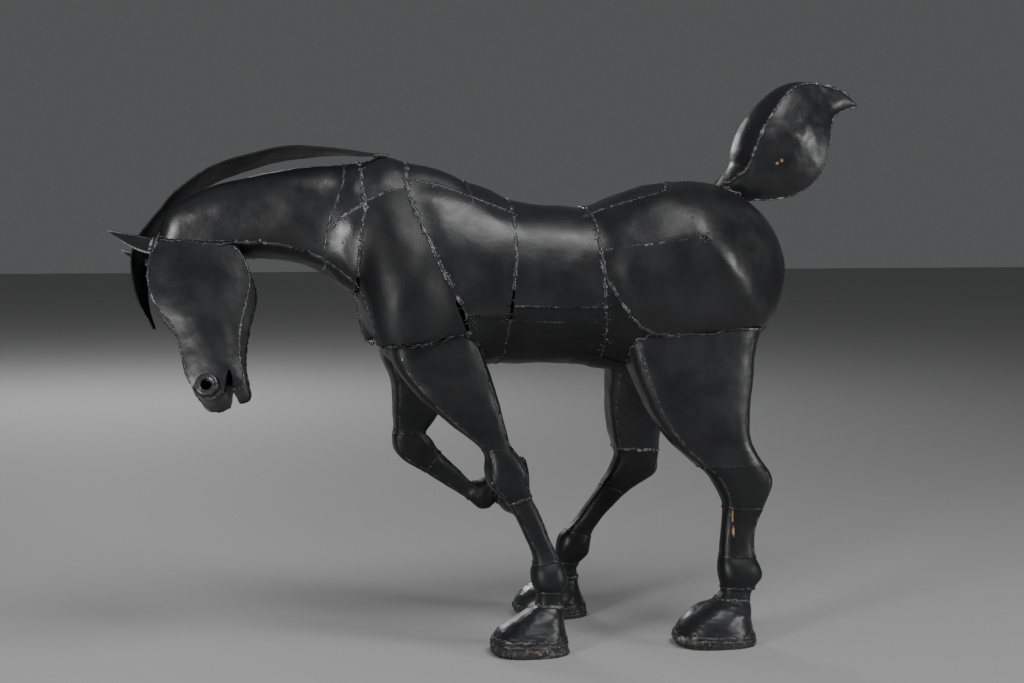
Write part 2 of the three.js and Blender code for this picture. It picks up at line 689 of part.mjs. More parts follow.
// An ear: a pointed leaf of sheet folded along its length, with the fold on top.
function addEar(head, side, sign) {
  const { rise, spacing, width, depth, sweep, thickness } = EAR;
  const [root, length] = side === "right" ? [EAR.rightRoot, EAR.rightLength] : [EAR.root, EAR.length];
  const leaf = (u) => (1 - u) ** 0.75 * (0.75 + 0.9 * u * (1 - u));
  const fold = (v) => Math.hypot(v, EAR.foldRadius) - EAR.foldRadius;
  const ear = (u, v) => {
    const drop = depth * fold(v) * leaf(u);
    const x = root.x + length * u + sweep * drop * (1 - u);
    return new THREE.Vector3(x, sign * spacing + v * width * leaf(u), root.z - rise * u + drop);
  };
  const under = new THREE.Vector3(root.x + length / 2, sign * spacing, root.z + length);
  addPiece(head, "ear_" + side, sheet(ear, steps(0, 0.97, 5), steps(-1, 1, 4), thickness, under), 1.1);
}

function addMane() {
  const mane = (u, v) => {
    const [x, y, z, half, tilt, turn] = along(MANE, u);
    return new THREE.Vector3(x, y, z).addScaledVector(rightward(tilt, turn), v * half);
  };
  const under = new THREE.Vector3(...MANE_UNDER);
  const solid = sheet(mane, steps(0, MANE.length - 1, 22), [-1, 1], MANE_THICKNESS, under);
  addPiece(horse, "mane_strip", solid, 1.15);
}

// The tail: two domed plates with a front strip and a rear strip between them.
function addTail(bodySpace) {
  const end = TAIL_FRONT.length - 1;
  const inside = new THREE.Vector3(...TAIL_MIDDLE);
  for (const [side, sign] of SIDES) {
    const plate = (u, v) => {
      const [x1, z1, e1] = along(TAIL_FRONT, u);
      const [x2, z2, e2] = along(TAIL_REAR, u);
      const dome = TAIL_DOME * arch(v) * Math.sin((Math.PI * (u + 1)) / (end + 2));
      const y = sign * (e1 + (e2 - e1) * v + dome);
      return new THREE.Vector3(x1 + (x2 - x1) * v, y, z1 + (z2 - z1) * v);
    };
    const solid = sheet(plate, steps(0, end, end), steps(0, 1, 4), SHEET, inside);
    addPiece(horse, "tail_plate_" + side, solid.subtract(bodySpace), 1.1);
  }
  for (const [name, edge, bulge] of [["front", TAIL_FRONT, TAIL_BULGE.height], ["rear", TAIL_REAR, 0]]) {
    const strip = (u, v) => {
      const [x, z, e] = along(edge, u);
      const [dx, dz] = along(edge, u + 0.01).map((value, k) => value - along(edge, u - 0.01)[k]);
      const bow = bulge * (1 - v * v) * Math.max(Math.sin((Math.PI * u) / TAIL_BULGE.rows), 0);
      const out = bow / Math.hypot(dx, dz);
      return new THREE.Vector3(x - dz * out, v * Math.max(e - SHEET - CLEAR, 1), z + dx * out);
    };
    const across = bulge > 0 ? steps(-1, 1, 4) : [-1, 1];
    const solid = sheet(strip, steps(0, end - 1.2, end), across, SHEET, inside);
    addPiece(horse, "tail_" + name + "_strip", solid.subtract(bodySpace));
  }
}

// A leg: upper, middle, cannon, fetlock and pastern sections, and a hoof.
function addLeg({ name, upper, middle, rows, cuts, hoof }, bodySpace) {
  const right = new THREE.Vector3(0, 1, 0);
  const ringAt = (list, place) => {
    const [x1, z1, x2, z2, y, half, square] = along(list, place);
    const front = new THREE.Vector3(x1, y, z1);
    const rear = new THREE.Vector3(x2, y, z2);
    return Array.from({ length: LEG_SIDES }, (_, side) => {
      const angle = ((side + 0.5) * 2 * Math.PI) / LEG_SIDES;
      return sectionPoint(front, rear, right, half, 0.5, square, square, angle);
    });
  };
  const millimetresPerRow = (place) => {
    const [a, b] = [along(rows, place - 0.05), along(rows, place + 0.05)];
    return 10 * Math.hypot((b[0] + b[2] - a[0] - a[2]) / 2, (b[1] + b[3] - a[1] - a[3]) / 2);
  };
  const halfGapAt = (place) => END_GAP / 2 / millimetresPerRow(place);
  [upper, middle, "cannon", "fetlock", "pastern"].forEach((section, i) => {
    const from = i === 0 ? cuts[0] : cuts[i] + halfGapAt(cuts[i]);
    const to = cuts[i + 1] - halfGapAt(cuts[i + 1]);
    const count = Math.max(2, Math.round(1.2 * (to - from)));
    const solid = loft(steps(from, to, count).map((place) => ringAt(rows, place)));
    addPiece(horse, name + "_" + section, i === 0 ? solid.subtract(bodySpace) : solid, 1 + 0.05 * (i % 2));
  });
  addPiece(horse, name + "_hoof", loft(hoof.map((_, i) => ringAt(hoof, i))), 1.1);
}

addBody();
addHead();
addMane();
const bodySpace = bodySolid(CLEAR, 0);
addTail(bodySpace);
for (const leg of LEGS) addLeg(leg, bodySpace);

// The origin is at the middle of the figure's box, on the surface that it stands on.
horse.updateMatrixWorld(true);
const box = new THREE.Box3().setFromObject(horse, true);
horse.position.set(-(box.min.x + box.max.x) / 2, -(box.min.y + box.max.y) / 2, -box.min.z);

const part = new THREE.Group();
part.add(horse);

export default part;
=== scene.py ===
"""A horse welded from hand-cut plates of sheet steel and painted satin black.

Each plate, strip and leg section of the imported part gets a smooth, dented copy of itself here, and
the joints between them get the rough weld beads that hold the figure together. Lengths are in
millimetres in the figure's own frame until place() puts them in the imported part's frame.
"""

import itertools
import math

import bpy
import numpy as np
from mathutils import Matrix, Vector
from mathutils.bvhtree import BVHTree
from mathutils.kdtree import KDTree


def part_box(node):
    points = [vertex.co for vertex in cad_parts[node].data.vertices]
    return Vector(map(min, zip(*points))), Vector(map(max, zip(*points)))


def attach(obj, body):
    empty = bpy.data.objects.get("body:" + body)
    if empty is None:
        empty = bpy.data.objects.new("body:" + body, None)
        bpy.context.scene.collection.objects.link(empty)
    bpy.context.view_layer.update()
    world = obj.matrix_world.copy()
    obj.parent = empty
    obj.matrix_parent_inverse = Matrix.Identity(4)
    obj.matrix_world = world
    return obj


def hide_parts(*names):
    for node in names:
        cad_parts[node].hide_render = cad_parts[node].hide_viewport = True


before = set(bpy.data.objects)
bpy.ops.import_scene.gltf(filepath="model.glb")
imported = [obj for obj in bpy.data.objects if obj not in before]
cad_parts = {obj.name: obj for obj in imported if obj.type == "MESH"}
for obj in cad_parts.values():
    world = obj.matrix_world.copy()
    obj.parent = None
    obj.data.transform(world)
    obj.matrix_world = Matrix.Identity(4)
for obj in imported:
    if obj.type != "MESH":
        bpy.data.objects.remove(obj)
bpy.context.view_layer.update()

# ---- Sizes of the solids, as in the part ----

SHEET = 3
JOINT = 1.6
CLEAR = 0.8
END_GAP = 1.2
HEAD_TILT = 23
HEAD_TURN = 12
HEAD_CENTRE = [-546, -35.5, 575]
HEAD_EDGE = 42
MUZZLE_EDGE = 38
MUZZLE_DOWN = 150
CHEEK_DOME = 9
HAUNCH_APEX = {"x": 303, "z": 712, "height": 15, "reach": 175, "blunt": 5, "fade": 90}
TAIL_DOME = 10
TAIL_BULGE = {"height": 22, "rows": 8.5}  # the front strip bows out between its edges
MANE_THICKNESS = 3
MANE_BAR = {"low": [83, -6, -117], "high": [95, 6, -103]}
NOSTRIL = {"forward": -10, "down": 133, "outer": 19, "inner": 9.5, "thickness": 4, "proud": 7.5}
EAR = {"root": {"left": (72, -137, 82), "right": (76, -134, 69)},  # x, z and length
       "rise": 24, "spacing": 43, "width": 11, "depth": 38, "sweep": 0.25, "fold": 0.14,
       "thickness": 2.5}
SIDES = [("left", -1), ("right", 1)]

# ---- The figure's tables ----

# Body sections from the head to the rump. Each row: crest x, y, z; underside x, y, z; half width;
# height of the widest place as a fraction from crest to underside; squareness above and below it
# (2 is an ellipse, more is boxier); and tilt in degrees, right side down.
BODY = [
    [-616, 31, 697, -481, 0, 687, 43, 0.5, 4, 4, 23], [-596, 29, 754, -460, -1, 683, 45, 0.5, 3, 4, 22],
    [-538, 26, 790, -437, -3, 681, 48, 0.5, 2.6, 4, 20],
    [-476, 22, 812, -403, -4, 676, 52, 0.52, 2.4, 4, 17],
    [-425, 17, 825, -368, -4, 667, 57, 0.54, 2.3, 4, 14],
    [-373, 12, 834, -333, -3, 651, 64, 0.56, 2.2, 4, 10],
    [-322, 7, 838, -302, -2, 627, 74, 0.6, 2.1, 3.8, 7],
    [-287, 4, 842, -279, -1, 605, 86, 0.66, 2.1, 3.5, 4],
    [-256, 2, 847, -261, 0, 569, 100, 0.72, 2, 3.8, 2],
    [-221, 0, 852, -238, 0, 522, 116, 0.78, 2, 4.6, 0],
    [-182, 0, 843, -203, 0, 489, 126, 0.78, 2, 4.4, 0],
    [-129, 0, 829, -135, 0, 481, 131, 0.72, 2.1, 3, 0],
    [-67, 0, 805, -67, 0, 482, 134, 0.65, 2.2, 1.9, 0],
    [14, 0, 774, 14, 0, 486, 134, 0.62, 2.4, 1.7, 0], [87, 0, 767, 87, 0, 485, 133, 0.61, 2.4, 1.7, 0],
    [142, 0, 770, 142, 0, 480, 136, 0.6, 2.3, 1.9, 0],
    [190, 0, 788, 190, 0, 478, 142, 0.58, 2.2, 2.3, 0],
    [245, 0, 805, 250, 0, 485, 148, 0.57, 2.1, 2.7, 0],
    [310, 0, 814, 320, 0, 498, 150, 0.56, 2.1, 2.8, 0],
    [366, 0, 807, 375, 0, 512, 145, 0.56, 2.1, 3.4, 0],
    [420, 0, 784, 420, 0, 524, 129, 0.54, 2.1, 3.8, 0],
    [460, 0, 750, 455, 0, 541, 103, 0.52, 2.1, 2.8, 0],
    [486, 0, 705, 481, 0, 573, 67, 0.5, 2.1, 2.1, 0], [498, 0, 664, 497, 0, 622, 27, 0.5, 2, 2, 0],
    [502, 0, 645, 502, 0, 645, 0, 0.5, 2, 2, 0],
]

# Joints between the body's plates, drawn in side view as x, z and cut on both sides at once.
BODY_JOINTS = {
    "neckPlates": [[-292, 870], [-308, 802], [-322, 768], [-335, 728], [-339, 690], [-337, 656]],
    "neckWedge": [[-336, 722], [-303, 755], [-272, 769]],
    "neckToTrunk": [
      [-274, 880], [-274, 794], [-271, 768], [-280, 712], [-285, 650], [-284, 616], [-284, 550],
    ],
    "shoulderTop": [[-282, 770], [-236, 790], [-190, 803]],
    "shoulderRear": [
      [-182, 880], [-199, 812], [-194, 777], [-178, 735], [-158, 684], [-136, 639], [-107, 585], [-100, 540],
    ],
    "shoulderFoot": [[-290, 514], [-238, 529], [-178, 533], [-140, 543], [-94, 550]],
    "ribTop": [[-206, 815], [-147, 804], [-108, 791], [-78, 779], [-34, 763], [-6, 750]],
    "backSplit": [[-84, 850], [-88, 800], [-85, 772]],
    "ribFoot": [[-114, 582], [-22, 577]],
    "saddleFront": [[-10, 820], [-14, 770], [-17, 692], [-24, 633], [-29, 585], [-30, 530], [-28, 440]],
    "saddleFoot": [[-36, 597], [55, 593], [146, 592]],
    "saddleRear": [
      [118, 820], [126, 768], [131, 734], [131, 700], [135, 655], [137, 600], [142, 540], [150, 440],
    ],
    "haunchFoot": [
      [128, 676], [145, 631], [172, 590], [199, 558], [230, 543], [290, 537], [345, 534], [395, 541],
      [440, 550], [560, 552],
    ],
    "loinFoot": [[112, 748], [150, 761], [200, 777], [262, 795], [290, 815], [300, 850]],
}

# Joints that run along the neck and chest: from which place to which along BODY, and how many
# degrees round from the crest they lie.
BODY_SEAMS = [
    {"from": -0.3, "to": 6.72, "degrees": 0, "count": 8},
    {"from": -0.15, "to": 9.6, "degrees": 135, "count": 10},
    {"from": -0.15, "to": 9.6, "degrees": -135, "count": 10},
]

# Where the left and right plates of the hindquarters meet, in side view.
RUMP_JOINTS = [
    {"x": [270, 560], "z": [700, 900]},
    {"x": [146, 560], "z": [400, 701]},
]

RUMP_SEAMS = [("rump_top", 17.35, 24, 0), ("rump_under", 15.1, 24, 180)]  # the same, along BODY

# A point of each body plate, left side, and whether the right side has its own copy.
BODY_PLATES = [
    ("neck_plate", [-430, -50, 760], True),
    ("neck_underside_strip", [-385, 0, 674], False),
    ("neck_base_top_plate", [-292, -30, 815], False),
    ("neck_base_plate", [-308, -70, 690], True),
    ("withers_plate", [-225, -20, 840], False),
    ("shoulder_plate", [-205, -110, 660], True),
    ("chest_strip", [-256, 0, 572], False),
    ("back_strip_front", [-135, 0, 826], False),
    ("back_strip_rear", [-50, 0, 794], False),
    ("rib_plate", [-80, -120, 680], True),
    ("saddle_plate", [60, 0, 768], False),
    ("belly_sheet_front", [-100, 0, 481], False),
    ("belly_sheet_rear", [60, 0, 485], False),
    ("loin_strip", [190, 0, 788], False),
    ("haunch_plate", [300, -145, 660], True),
    ("flank_sheet", [165, -120, 540], True),
]

# The face and jaw edges of the head in its own frame, as forward, down.
FACE_EDGE = [
    [64, -133], [79, -105], [84, -68], [77, -29], [62, -3], [44, 24], [34, 54], [28, 86], [24, 110],
    [12, 134], [-5, 152], [-22, 155], [-40, 146],
]

JAW_EDGE = [
    [-61, -114], [-76, -95], [-86, -68], [-88, -40], [-80, -8], [-72, 24], [-67, 56], [-66, 84], [-69, 108],
    [-72, 128], [-69, 139], [-61, 142], [-52, 142],
]

UPPER_LIP = [[-43, 122], [-47, 108]]

LOWER_LIP = [[-52, 126], [-51, 113]]

MOUTH_SLIT = [[-47, 108], [-39, 140], [-38, 175], [-60, 175], [-56, 138], [-51, 112]]

# The mane: middle of the strip x, y, z, half width, tilt and turn in degrees, right side down and back.
MANE = [
    [-221, 0, 857, 11, 3, 2], [-258, 1, 858, 18, 6, 3], [-300, 3, 861, 26, 10, 5],
    [-348, 7, 862, 31, 14, 7], [-405, 13, 858, 34, 18, 9], [-461, 18, 844, 34, 20, 10],
    [-513, 25, 826, 34, 21, 11], [-550, 31, 805, 33, 22, 11], [-582, 37, 781, 32, 23, 12],
    [-607, 42, 753, 30, 23, 13], [-629, 41, 724, 28, 23, 19], [-646, 34, 692, 25, 23, 32],
    [-649, 24, 660, 23, 23, 44], [-649, 12, 629, 19, 23, 44], [-643, -5, 595, 13, 23, 44],
    [-628, -26, 558, 4, 23, 44],
]

# The tail's front and rear edges in side view, as x, z and half thickness there.
TAIL_FRONT = [
    [376, 801, 30], [402, 820, 44], [420, 838, 54], [428, 864, 61], [438, 890, 62], [453, 916, 58],
    [475, 946, 50], [507, 976, 32], [546, 990, 13], [583, 986, 8], [616, 976, 6], [643, 955, 4],
]

TAIL_REAR = [
    [396, 789, 28], [422, 780, 33], [460, 778, 41], [500, 784, 48], [531, 800, 55], [553, 822, 58],
    [566, 848, 56], [576, 880, 48], [584, 908, 34], [598, 931, 16], [620, 942, 8], [646, 950, 4],
]

# Legs. Each row is a section: front x, z; rear x, z; y of its middle; half width; squareness.
# Hooves end on a flat sole.
LEGS = [
    {
        "name": "front_left", "upper": "forearm", "middle": "knee",
        "cuts": [0, 4.4, 8.4, 12.2, 15, 17],
        "rows": [
            [-236, 548, -92, 562, -73, 45, 3], [-222, 492, -66, 497, -79, 45, 3],
            [-176, 433, -48, 437, -94, 42, 3], [-125, 388, -39, 393, -108, 35, 3],
            [-84, 356, -31, 360, -117, 29, 2.6], [-71, 336, -17, 341, -120, 32, 2.6],
            [-72, 312, -2, 317, -123, 35, 2.6], [-66, 288, -1, 293, -125, 33, 2.6],
            [-42, 263, 4, 275, -128, 25, 2.6], [-28, 246, 7, 262, -130, 20, 2.4],
            [-13, 216, 23, 230, -133, 19, 2.4], [2, 179, 39, 190, -137, 20, 2.4],
            [8, 157, 51, 163, -139, 23, 2.4], [3, 138, 63, 141, -141, 31, 2.2],
            [5, 120, 66, 119, -142, 32, 2.2], [12, 104, 59, 103, -143, 25, 2.2],
            [13, 93, 57, 90, -144, 22, 2.4], [12, 84, 58, 79, -145, 23, 2.4],
        ],
        "hoof": [
            [13, 81, 57, 76, -146, 24, 2.3], [-26, 61, 59, 58, -147, 40, 2.3],
            [-53, 41, 60, 42, -147, 50, 2.3], [-66, 22, 63, 20, -148, 57, 2.3],
            [-68, 8, 66, 8, -148, 60, 2.3], [-64, 0, 66, 0, -148, 58, 2.3],
        ],
    },
    {
        "name": "front_right", "upper": "forearm", "middle": "knee",
        "cuts": [0, 4.4, 8.4, 11.8, 15, 17],
        "rows": [
            [-236, 548, -92, 562, 73, 45, 3], [-222, 496, -88, 500, 79, 45, 3],
            [-203, 452, -97, 450, 89, 42, 3], [-199, 400, -118, 395, 98, 36, 3],
            [-197, 366, -138, 362, 103, 30, 2.6], [-200, 346, -140, 356, 105, 32, 2.6],
            [-195, 322, -130, 344, 107, 33, 2.6], [-178, 304, -124, 335, 109, 31, 2.6],
            [-150, 288, -117, 325, 110, 25, 2.6], [-130, 275, -104, 311, 110, 20, 2.4],
            [-100, 255, -79, 287, 111, 18, 2.4], [-72, 237, -56, 263, 112, 19, 2.4],
            [-57, 226, -44, 262, 112, 24, 2.2], [-40, 213, -31, 267, 112, 28, 2.2],
            [-24, 212, -20, 270, 112, 27, 2.2], [-14, 219, -13, 264, 112, 22, 2.2],
            [-9, 222, -8, 262, 112, 21, 2.4], [-4, 221, -4, 263, 112, 22, 2.4],
        ],
        "hoof": [
            [-3, 220, -3, 264, 112, 24, 2.3], [8, 207, 8, 277, 112, 38, 2.3],
            [20, 200, 20, 289, 112, 48, 2.3], [31, 196, 31, 299, 112, 55, 2.3],
            [40, 196, 40, 304, 112, 57, 2.3], [45, 199, 45, 303, 112, 55, 2.3],
        ],
    },
    {
        "name": "hind_left", "upper": "thigh", "middle": "hock",
        "cuts": [0, 5.4, 8.3, 11.3, 14.2, 16],
        "rows": [
            [176, 562, 430, 562, -78, 52, 3], [190, 500, 417, 498, -84, 50, 3],
            [205, 454, 411, 450, -92, 46, 3], [232, 395, 403, 397, -102, 40, 3],
            [267, 349, 404, 356, -109, 35, 3], [299, 319, 422, 322, -113, 32, 2.8],
            [325, 297, 440, 297, -116, 31, 2.6], [345, 270, 443, 276, -118, 29, 2.6],
            [355, 245, 430, 240, -121, 25, 2.6], [354, 220, 418, 215, -124, 21, 2.4],
            [351, 190, 411, 190, -127, 20, 2.4], [348, 160, 409, 157, -131, 22, 2.4],
            [343, 138, 418, 134, -135, 29, 2.2], [343, 118, 421, 115, -137, 30, 2.2],
            [346, 100, 409, 98, -139, 24, 2.2], [348, 92, 400, 88, -140, 22, 2.4],
            [340, 80, 397, 76, -141, 23, 2.4],
        ],
        "hoof": [
            [332, 77, 396, 72, -143, 25, 2.3], [304, 66, 397, 58, -145, 41, 2.3],
            [277, 47, 398, 42, -146, 52, 2.3], [263, 24, 401, 20, -147, 58, 2.3],
            [260, 10, 404, 8, -147, 61, 2.3], [266, 0, 404, 0, -147, 59, 2.3],
        ],
    },
    {
        "name": "hind_right", "upper": "thigh", "middle": "hock",
        "cuts": [0, 5.1, 8.3, 11.3, 14.2, 16],
        "rows": [
            [176, 562, 430, 562, 78, 52, 3], [192, 500, 408, 498, 84, 50, 3],
            [199, 450, 372, 446, 90, 46, 3], [200, 400, 330, 398, 98, 41, 3],
            [206, 358, 304, 356, 104, 36, 3], [216, 322, 301, 316, 110, 32, 2.8],
            [221, 303, 300, 295, 113, 31, 2.6], [213, 280, 294, 268, 116, 29, 2.6],
            [200, 257, 248, 237, 120, 25, 2.6], [184, 231, 219, 208, 124, 20, 2.4],
            [160, 195, 190, 173, 130, 19, 2.4], [138, 168, 180, 152, 134, 21, 2.4],
            [120, 150, 177, 134, 136, 28, 2.2], [113, 127, 173, 115, 138, 29, 2.2],
            [115, 104, 158, 98, 140, 23, 2.2], [114, 92, 152, 88, 141, 20, 2.4],
            [104, 80, 154, 74, 142, 22, 2.4],
        ],
        "hoof": [
            [88, 71, 157, 68, 143, 26, 2.3], [58, 54, 160, 48, 145, 43, 2.3],
            [42, 36, 164, 34, 146, 53, 2.3], [36, 20, 169, 18, 147, 57, 2.3],
            [38, 8, 172, 8, 147, 59, 2.3], [44, 0, 173, 0, 147, 57, 2.3],
        ],
    },
]

# ---- Open places that the welding left, in side view on the left side: x, z pairs ----

OPEN_SLOTS = [
    [[-125, 611], [-119, 605], [-106, 576], [-101, 556], [-106, 555], [-115, 577], [-124, 600]],
    [[-26, 622], [-22, 622], [-25, 596], [-27, 572], [-32, 572], [-30, 598]],
    [[-287, 645], [-283, 645], [-279, 612], [-271, 586], [-276, 584], [-285, 606]],
    [[299, 715], [304, 718], [309, 714], [307, 709], [300, 710]],
]
OPEN_SLOTS_RIGHT = [
    [[-196, 760], [-191, 760], [-180, 728], [-184, 726]],
    [[128, 660], [133, 660], [136, 622], [131, 622]],
]
HAUNCH_DART = [[133, 690], [175, 697], [211, 701], [264, 708], [301, 712]]
SEAM_PULL = {"depth": 2.5, "pillow": 3.0, "reach": 38}  # plates lie lower at their joints
HAUNCH_RIDGE = [  # x, z and how far the fold stands out
    [133, 690, 1.5], [211, 701, 4], [288, 711, 9.5], [303, 712, 13], [340, 662, 15],
    [382, 614, 13], [418, 577, 8], [440, 553, 1],
]
RIDGE_REACH = {"below": 26, "above": 78}  # how far the fold spreads to either side of its crest
HAUNCH_TOP = {"x": 225, "z": 786, "wide": 75, "tall": 46, "height": 10}  # a swelling above the dart
HAMMERED = {"x": 395, "z": 665, "reach": 60, "depth": 1.1, "size": 15}  # beaten more than elsewhere
SHOULDER_BULGE = {"height": 21, "x": (-292, -214, -206, -124), "z": (610, 760)}
# Above the forelegs the body draws in under the shoulder plates.
LEG_TOP = {"recess": 13, "front": (-262, -225), "rear": (-118, -96), "below_foot": (-75, -35)}
# The belly sheets lie a little inside the plates above them, whose edges stand out.
BELLY_LAP = {"depth": 3, "front": (-110, -96), "rear": (128, 142), "step_at": -26, "lip": 1.5,
             "lip_reach": 14}
SHADED_UNDERSIDES = ("belly", "flank", "chest", "neck_underside")  # underside plates, given the darker paint as painted shade; that paint is also duller
BELLY_SCRATCH = [[-48, 571], [-23, 571], [26, 568], [74, 566]]
RUST_SPOTS = [  # x, y, z, radius and how many times as tall as wide
    [478, -67, 848, 4.5, 1], [470, -66, 843, 4, 1], [-67, -152, 292, 4, 2.4],
    [366, -146, 225, 3.4, 6], [367, -146, 197, 3, 5], [180, 140, 560, 8, 1], [300, 152, 640, 7, 2],
    [500, 62, 900, 6, 1],
]
RUST_DEPTH = 0.4  # how much a spot's distance through the steel counts
RUST_DARK, RUST_LIGHT = (0.2, 0.095, 0.04), (0.46, 0.3, 0.14)
RING_STRENGTH = {  # of the welds round a leg, from the one above its middle section down to its hoof
    "front_left": [0.1, 0.6, 0.2, 0.3, 0.45], "front_right": [0.3, 0.3, 0.3, 0.3, 0.4],
    "hind_left": [0.05, 0.1, 0.25, 0.35, 0.6], "hind_right": [0.7, 0.2, 0.25, 0.3, 0.4],
}

# ---- The studio, in metres and watts ----

CAMERA_TURN = math.radians(12)  # how far ahead of the figure's left side the camera stands
CAMERA_AWAY = 3356  # millimetres from the figure's upright axis
CAMERA_HEIGHT = 760  # millimetres above the floor
CAMERA_PITCH = math.radians(3.98)  # how far it looks down
CAMERA_LENS, CAMERA_SENSOR = 66.4453, 36  # millimetres
FLOOR_REACH = 20
FLOOR_GREY, FLOOR_ROUGHNESS = (0.42, 0.42, 0.42), 0.7
SKY_COLOUR, SKY_STRENGTH = (0.3, 0.305, 0.31), 0.3
LIT_POINT = Vector((0, 0, 0.5))
SOFT_BOXES = [  # name, position, width, height and power
    ("key", (0.8, -1.6, 3.3), 1.9, 1.3, 60),
    ("rear", (3.9, -2.9, 1.5), 1.1, 1.6, 76),
    ("front", (-3.1, -2.9, 1.2), 1.0, 1.1, 100),
]
BACK_LIGHT = {"position": (-0.8, 4.4, 2.0), "radius": 0.6, "power": 150}

# ---- Noise and curves ----

GRADIENTS = np.random.default_rng(11).normal(size=(32, 32, 32, 3))
GRADIENTS /= np.linalg.norm(GRADIENTS, axis=-1, keepdims=True)


def noise(p, seed=0):
    """Smooth noise from about -1 to 1 at an array of points, with features one unit across."""
    p = np.asarray(p, float) + 7.31 * seed + 0.37
    cell = np.floor(p).astype(int)
    f = p - cell
    w = f * f * f * (f * (f * 6 - 15) + 10)
    total = np.zeros(p.shape[:-1])
    for corner in np.ndindex(2, 2, 2):
        at = (cell + corner) % 32
        gradient = GRADIENTS[at[..., 0], at[..., 1], at[..., 2]]
        weight = np.prod(np.where(corner, w, 1 - w), axis=-1)
        total += weight * np.sum(gradient * (f - corner), axis=-1)
    return 1.6 * total


def noise_along(s, scale, seed):
    s = np.asarray(s, float)
    return noise(np.stack([s / scale, np.full_like(s, 3.7 * seed), np.full_like(s, 0.5)], axis=-1), seed)


def along(rows, place):
    """A smooth curve through rows of numbers, at place 0 for the first row, 1 for the second."""
    rows = np.asarray(rows, float)
    place = np.asarray(place, float)
    first = np.clip(np.floor(place).astype(int), 0, len(rows) - 2)
    t = (place - first)[..., None]
    padded = np.vstack([2 * rows[0] - rows[1], rows, 2 * rows[-1] - rows[-2]])
    a, b, c, d = (padded[first + k] for k in range(4))
    return b + 0.5 * t * ((c - a) + t * ((2 * a - 5 * b + 4 * c - d) + t * (3 * b - a - 3 * c + d)))


def unit(v):
    return v / np.maximum(np.linalg.norm(v, axis=-1, keepdims=True), 1e-9)


def arch(v):
    return 4 * v * (1 - v)


def smoothstep(x, low, high):
    t = np.clip((x - low) / (high - low), 0, 1)
    return t * t * (3 - 2 * t)


def rightward(tilt, turn=None):
    """The direction of the right side where the figure leans and turns by so many degrees."""
    tilt = np.asarray(tilt, float)
    turn, lean = np.radians(tilt * HEAD_TURN / HEAD_TILT if turn is None else turn), np.radians(tilt)
    return np.stack([np.sin(turn) * np.cos(lean), np.cos(turn) * np.cos(lean), -np.sin(lean)], axis=-1)


DENTS = [(2.4, 95, 1), (1.25, 42, 2), (0.33, 17, 3)]  # depth, size across and seed


def dents(p, depth=1.0, scale=1.0):
    """How far hammering has pushed the steel in or out."""
    p = np.asarray(p) / scale
    return depth * sum(deep * noise(p / size, seed) for deep, size, seed in DENTS)


# ---- Meshes ----

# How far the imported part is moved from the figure's own frame: its rump and its middle are known.
low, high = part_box("haunch_plate_left")
SHIFT = np.array([1000 * high.x - BODY[-1][0], 500 * (low.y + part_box("haunch_plate_right")[1].y), 0])


def place(points):
    """Points of the figure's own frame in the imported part's, in metres."""
    return (np.asarray(points, float).reshape(-1, 3) + SHIFT) / 1000


def placed_back(piece):
    """A mesh's points in the figure's own frame."""
    return np.array([vertex.co for vertex in piece.data.vertices]) * 1000 - SHIFT


def add_object(name, data):
    thing = bpy.data.objects.new(name, data)
    bpy.context.scene.collection.objects.link(thing)
    return thing


def new_mesh(name, points, faces):
    mesh = bpy.data.meshes.new(name)
    mesh.from_pydata(place(points).tolist(), [], [tuple(f) for f in faces])
    mesh.update()
    return add_object(name, mesh)


def grid_faces(rows, columns, closed=False, start=0):
    index = np.arange(rows * columns).reshape(rows, columns) + start
    nxt = np.roll(index, -1, axis=1) if closed else index[:, 1:]
    here = index if closed else index[:, :-1]
    return np.stack([here[:-1], nxt[:-1], nxt[1:], here[1:]], axis=-1).reshape(-1, 4).tolist()


def grid_normals(points, closed=False):
    """Unit normals of a grid of points, by differences between neighbours."""
    along_rows = np.gradient(points, axis=0)
    if closed:
        along_columns = np.roll(points, -1, axis=1) - np.roll(points, 1, axis=1)
    else:
        along_columns = np.gradient(points, axis=1)
    return unit(np.cross(along_rows, along_columns))


def outward(rings):
    """Unit normals of a tube of rings, turned away from the middle of each ring."""
    normals = grid_normals(rings, closed=True)
    centre = rings.mean(axis=1, keepdims=True)
    return np.where(np.sum(normals * (rings - centre), axis=-1, keepdims=True) < 0, -normals, normals)


def facing_out(piece):
    """Turns a closed mesh's faces outwards."""
    mesh = piece.data
    co = np.empty(len(mesh.vertices) * 3)
    mesh.vertices.foreach_get("co", co)
    mesh.calc_loop_triangles()
    tri = np.empty(len(mesh.loop_triangles) * 3, int)
    mesh.loop_triangles.foreach_get("vertices", tri)
    a, b, c = co.reshape(-1, 3)[tri.reshape(-1, 3)].transpose(1, 0, 2)
    if np.sum(a * np.cross(b, c)) < 0:
        mesh.flip_normals()
    return piece


def sheet(name, grid, thickness, inside):
    """A sheet of metal over a grid of points, with its thickness towards a point inside."""
    grid = np.asarray(grid, float)
    normals = grid_normals(grid)
    rows, columns = grid.shape[:2]
    middle = (rows // 2, columns // 2)
    turn = np.sign(np.dot(np.asarray(inside) - grid[middle], normals[middle]))
    inner = grid + turn * thickness * normals
    count = rows * columns
    faces = grid_faces(rows, columns) + [f[::-1] for f in grid_faces(rows, columns, start=count)]
    index = np.arange(count).reshape(rows, columns)
    rim = np.concatenate([index[0, :-1], index[:-1, -1], index[-1, :0:-1], index[:0:-1, 0]]).tolist()
    faces += [(a, a + count, b + count, b) for a, b in zip(rim, rim[1:] + rim[:1])]
    return facing_out(new_mesh(name, np.concatenate([grid.reshape(-1, 3), inner.reshape(-1, 3)]), faces))


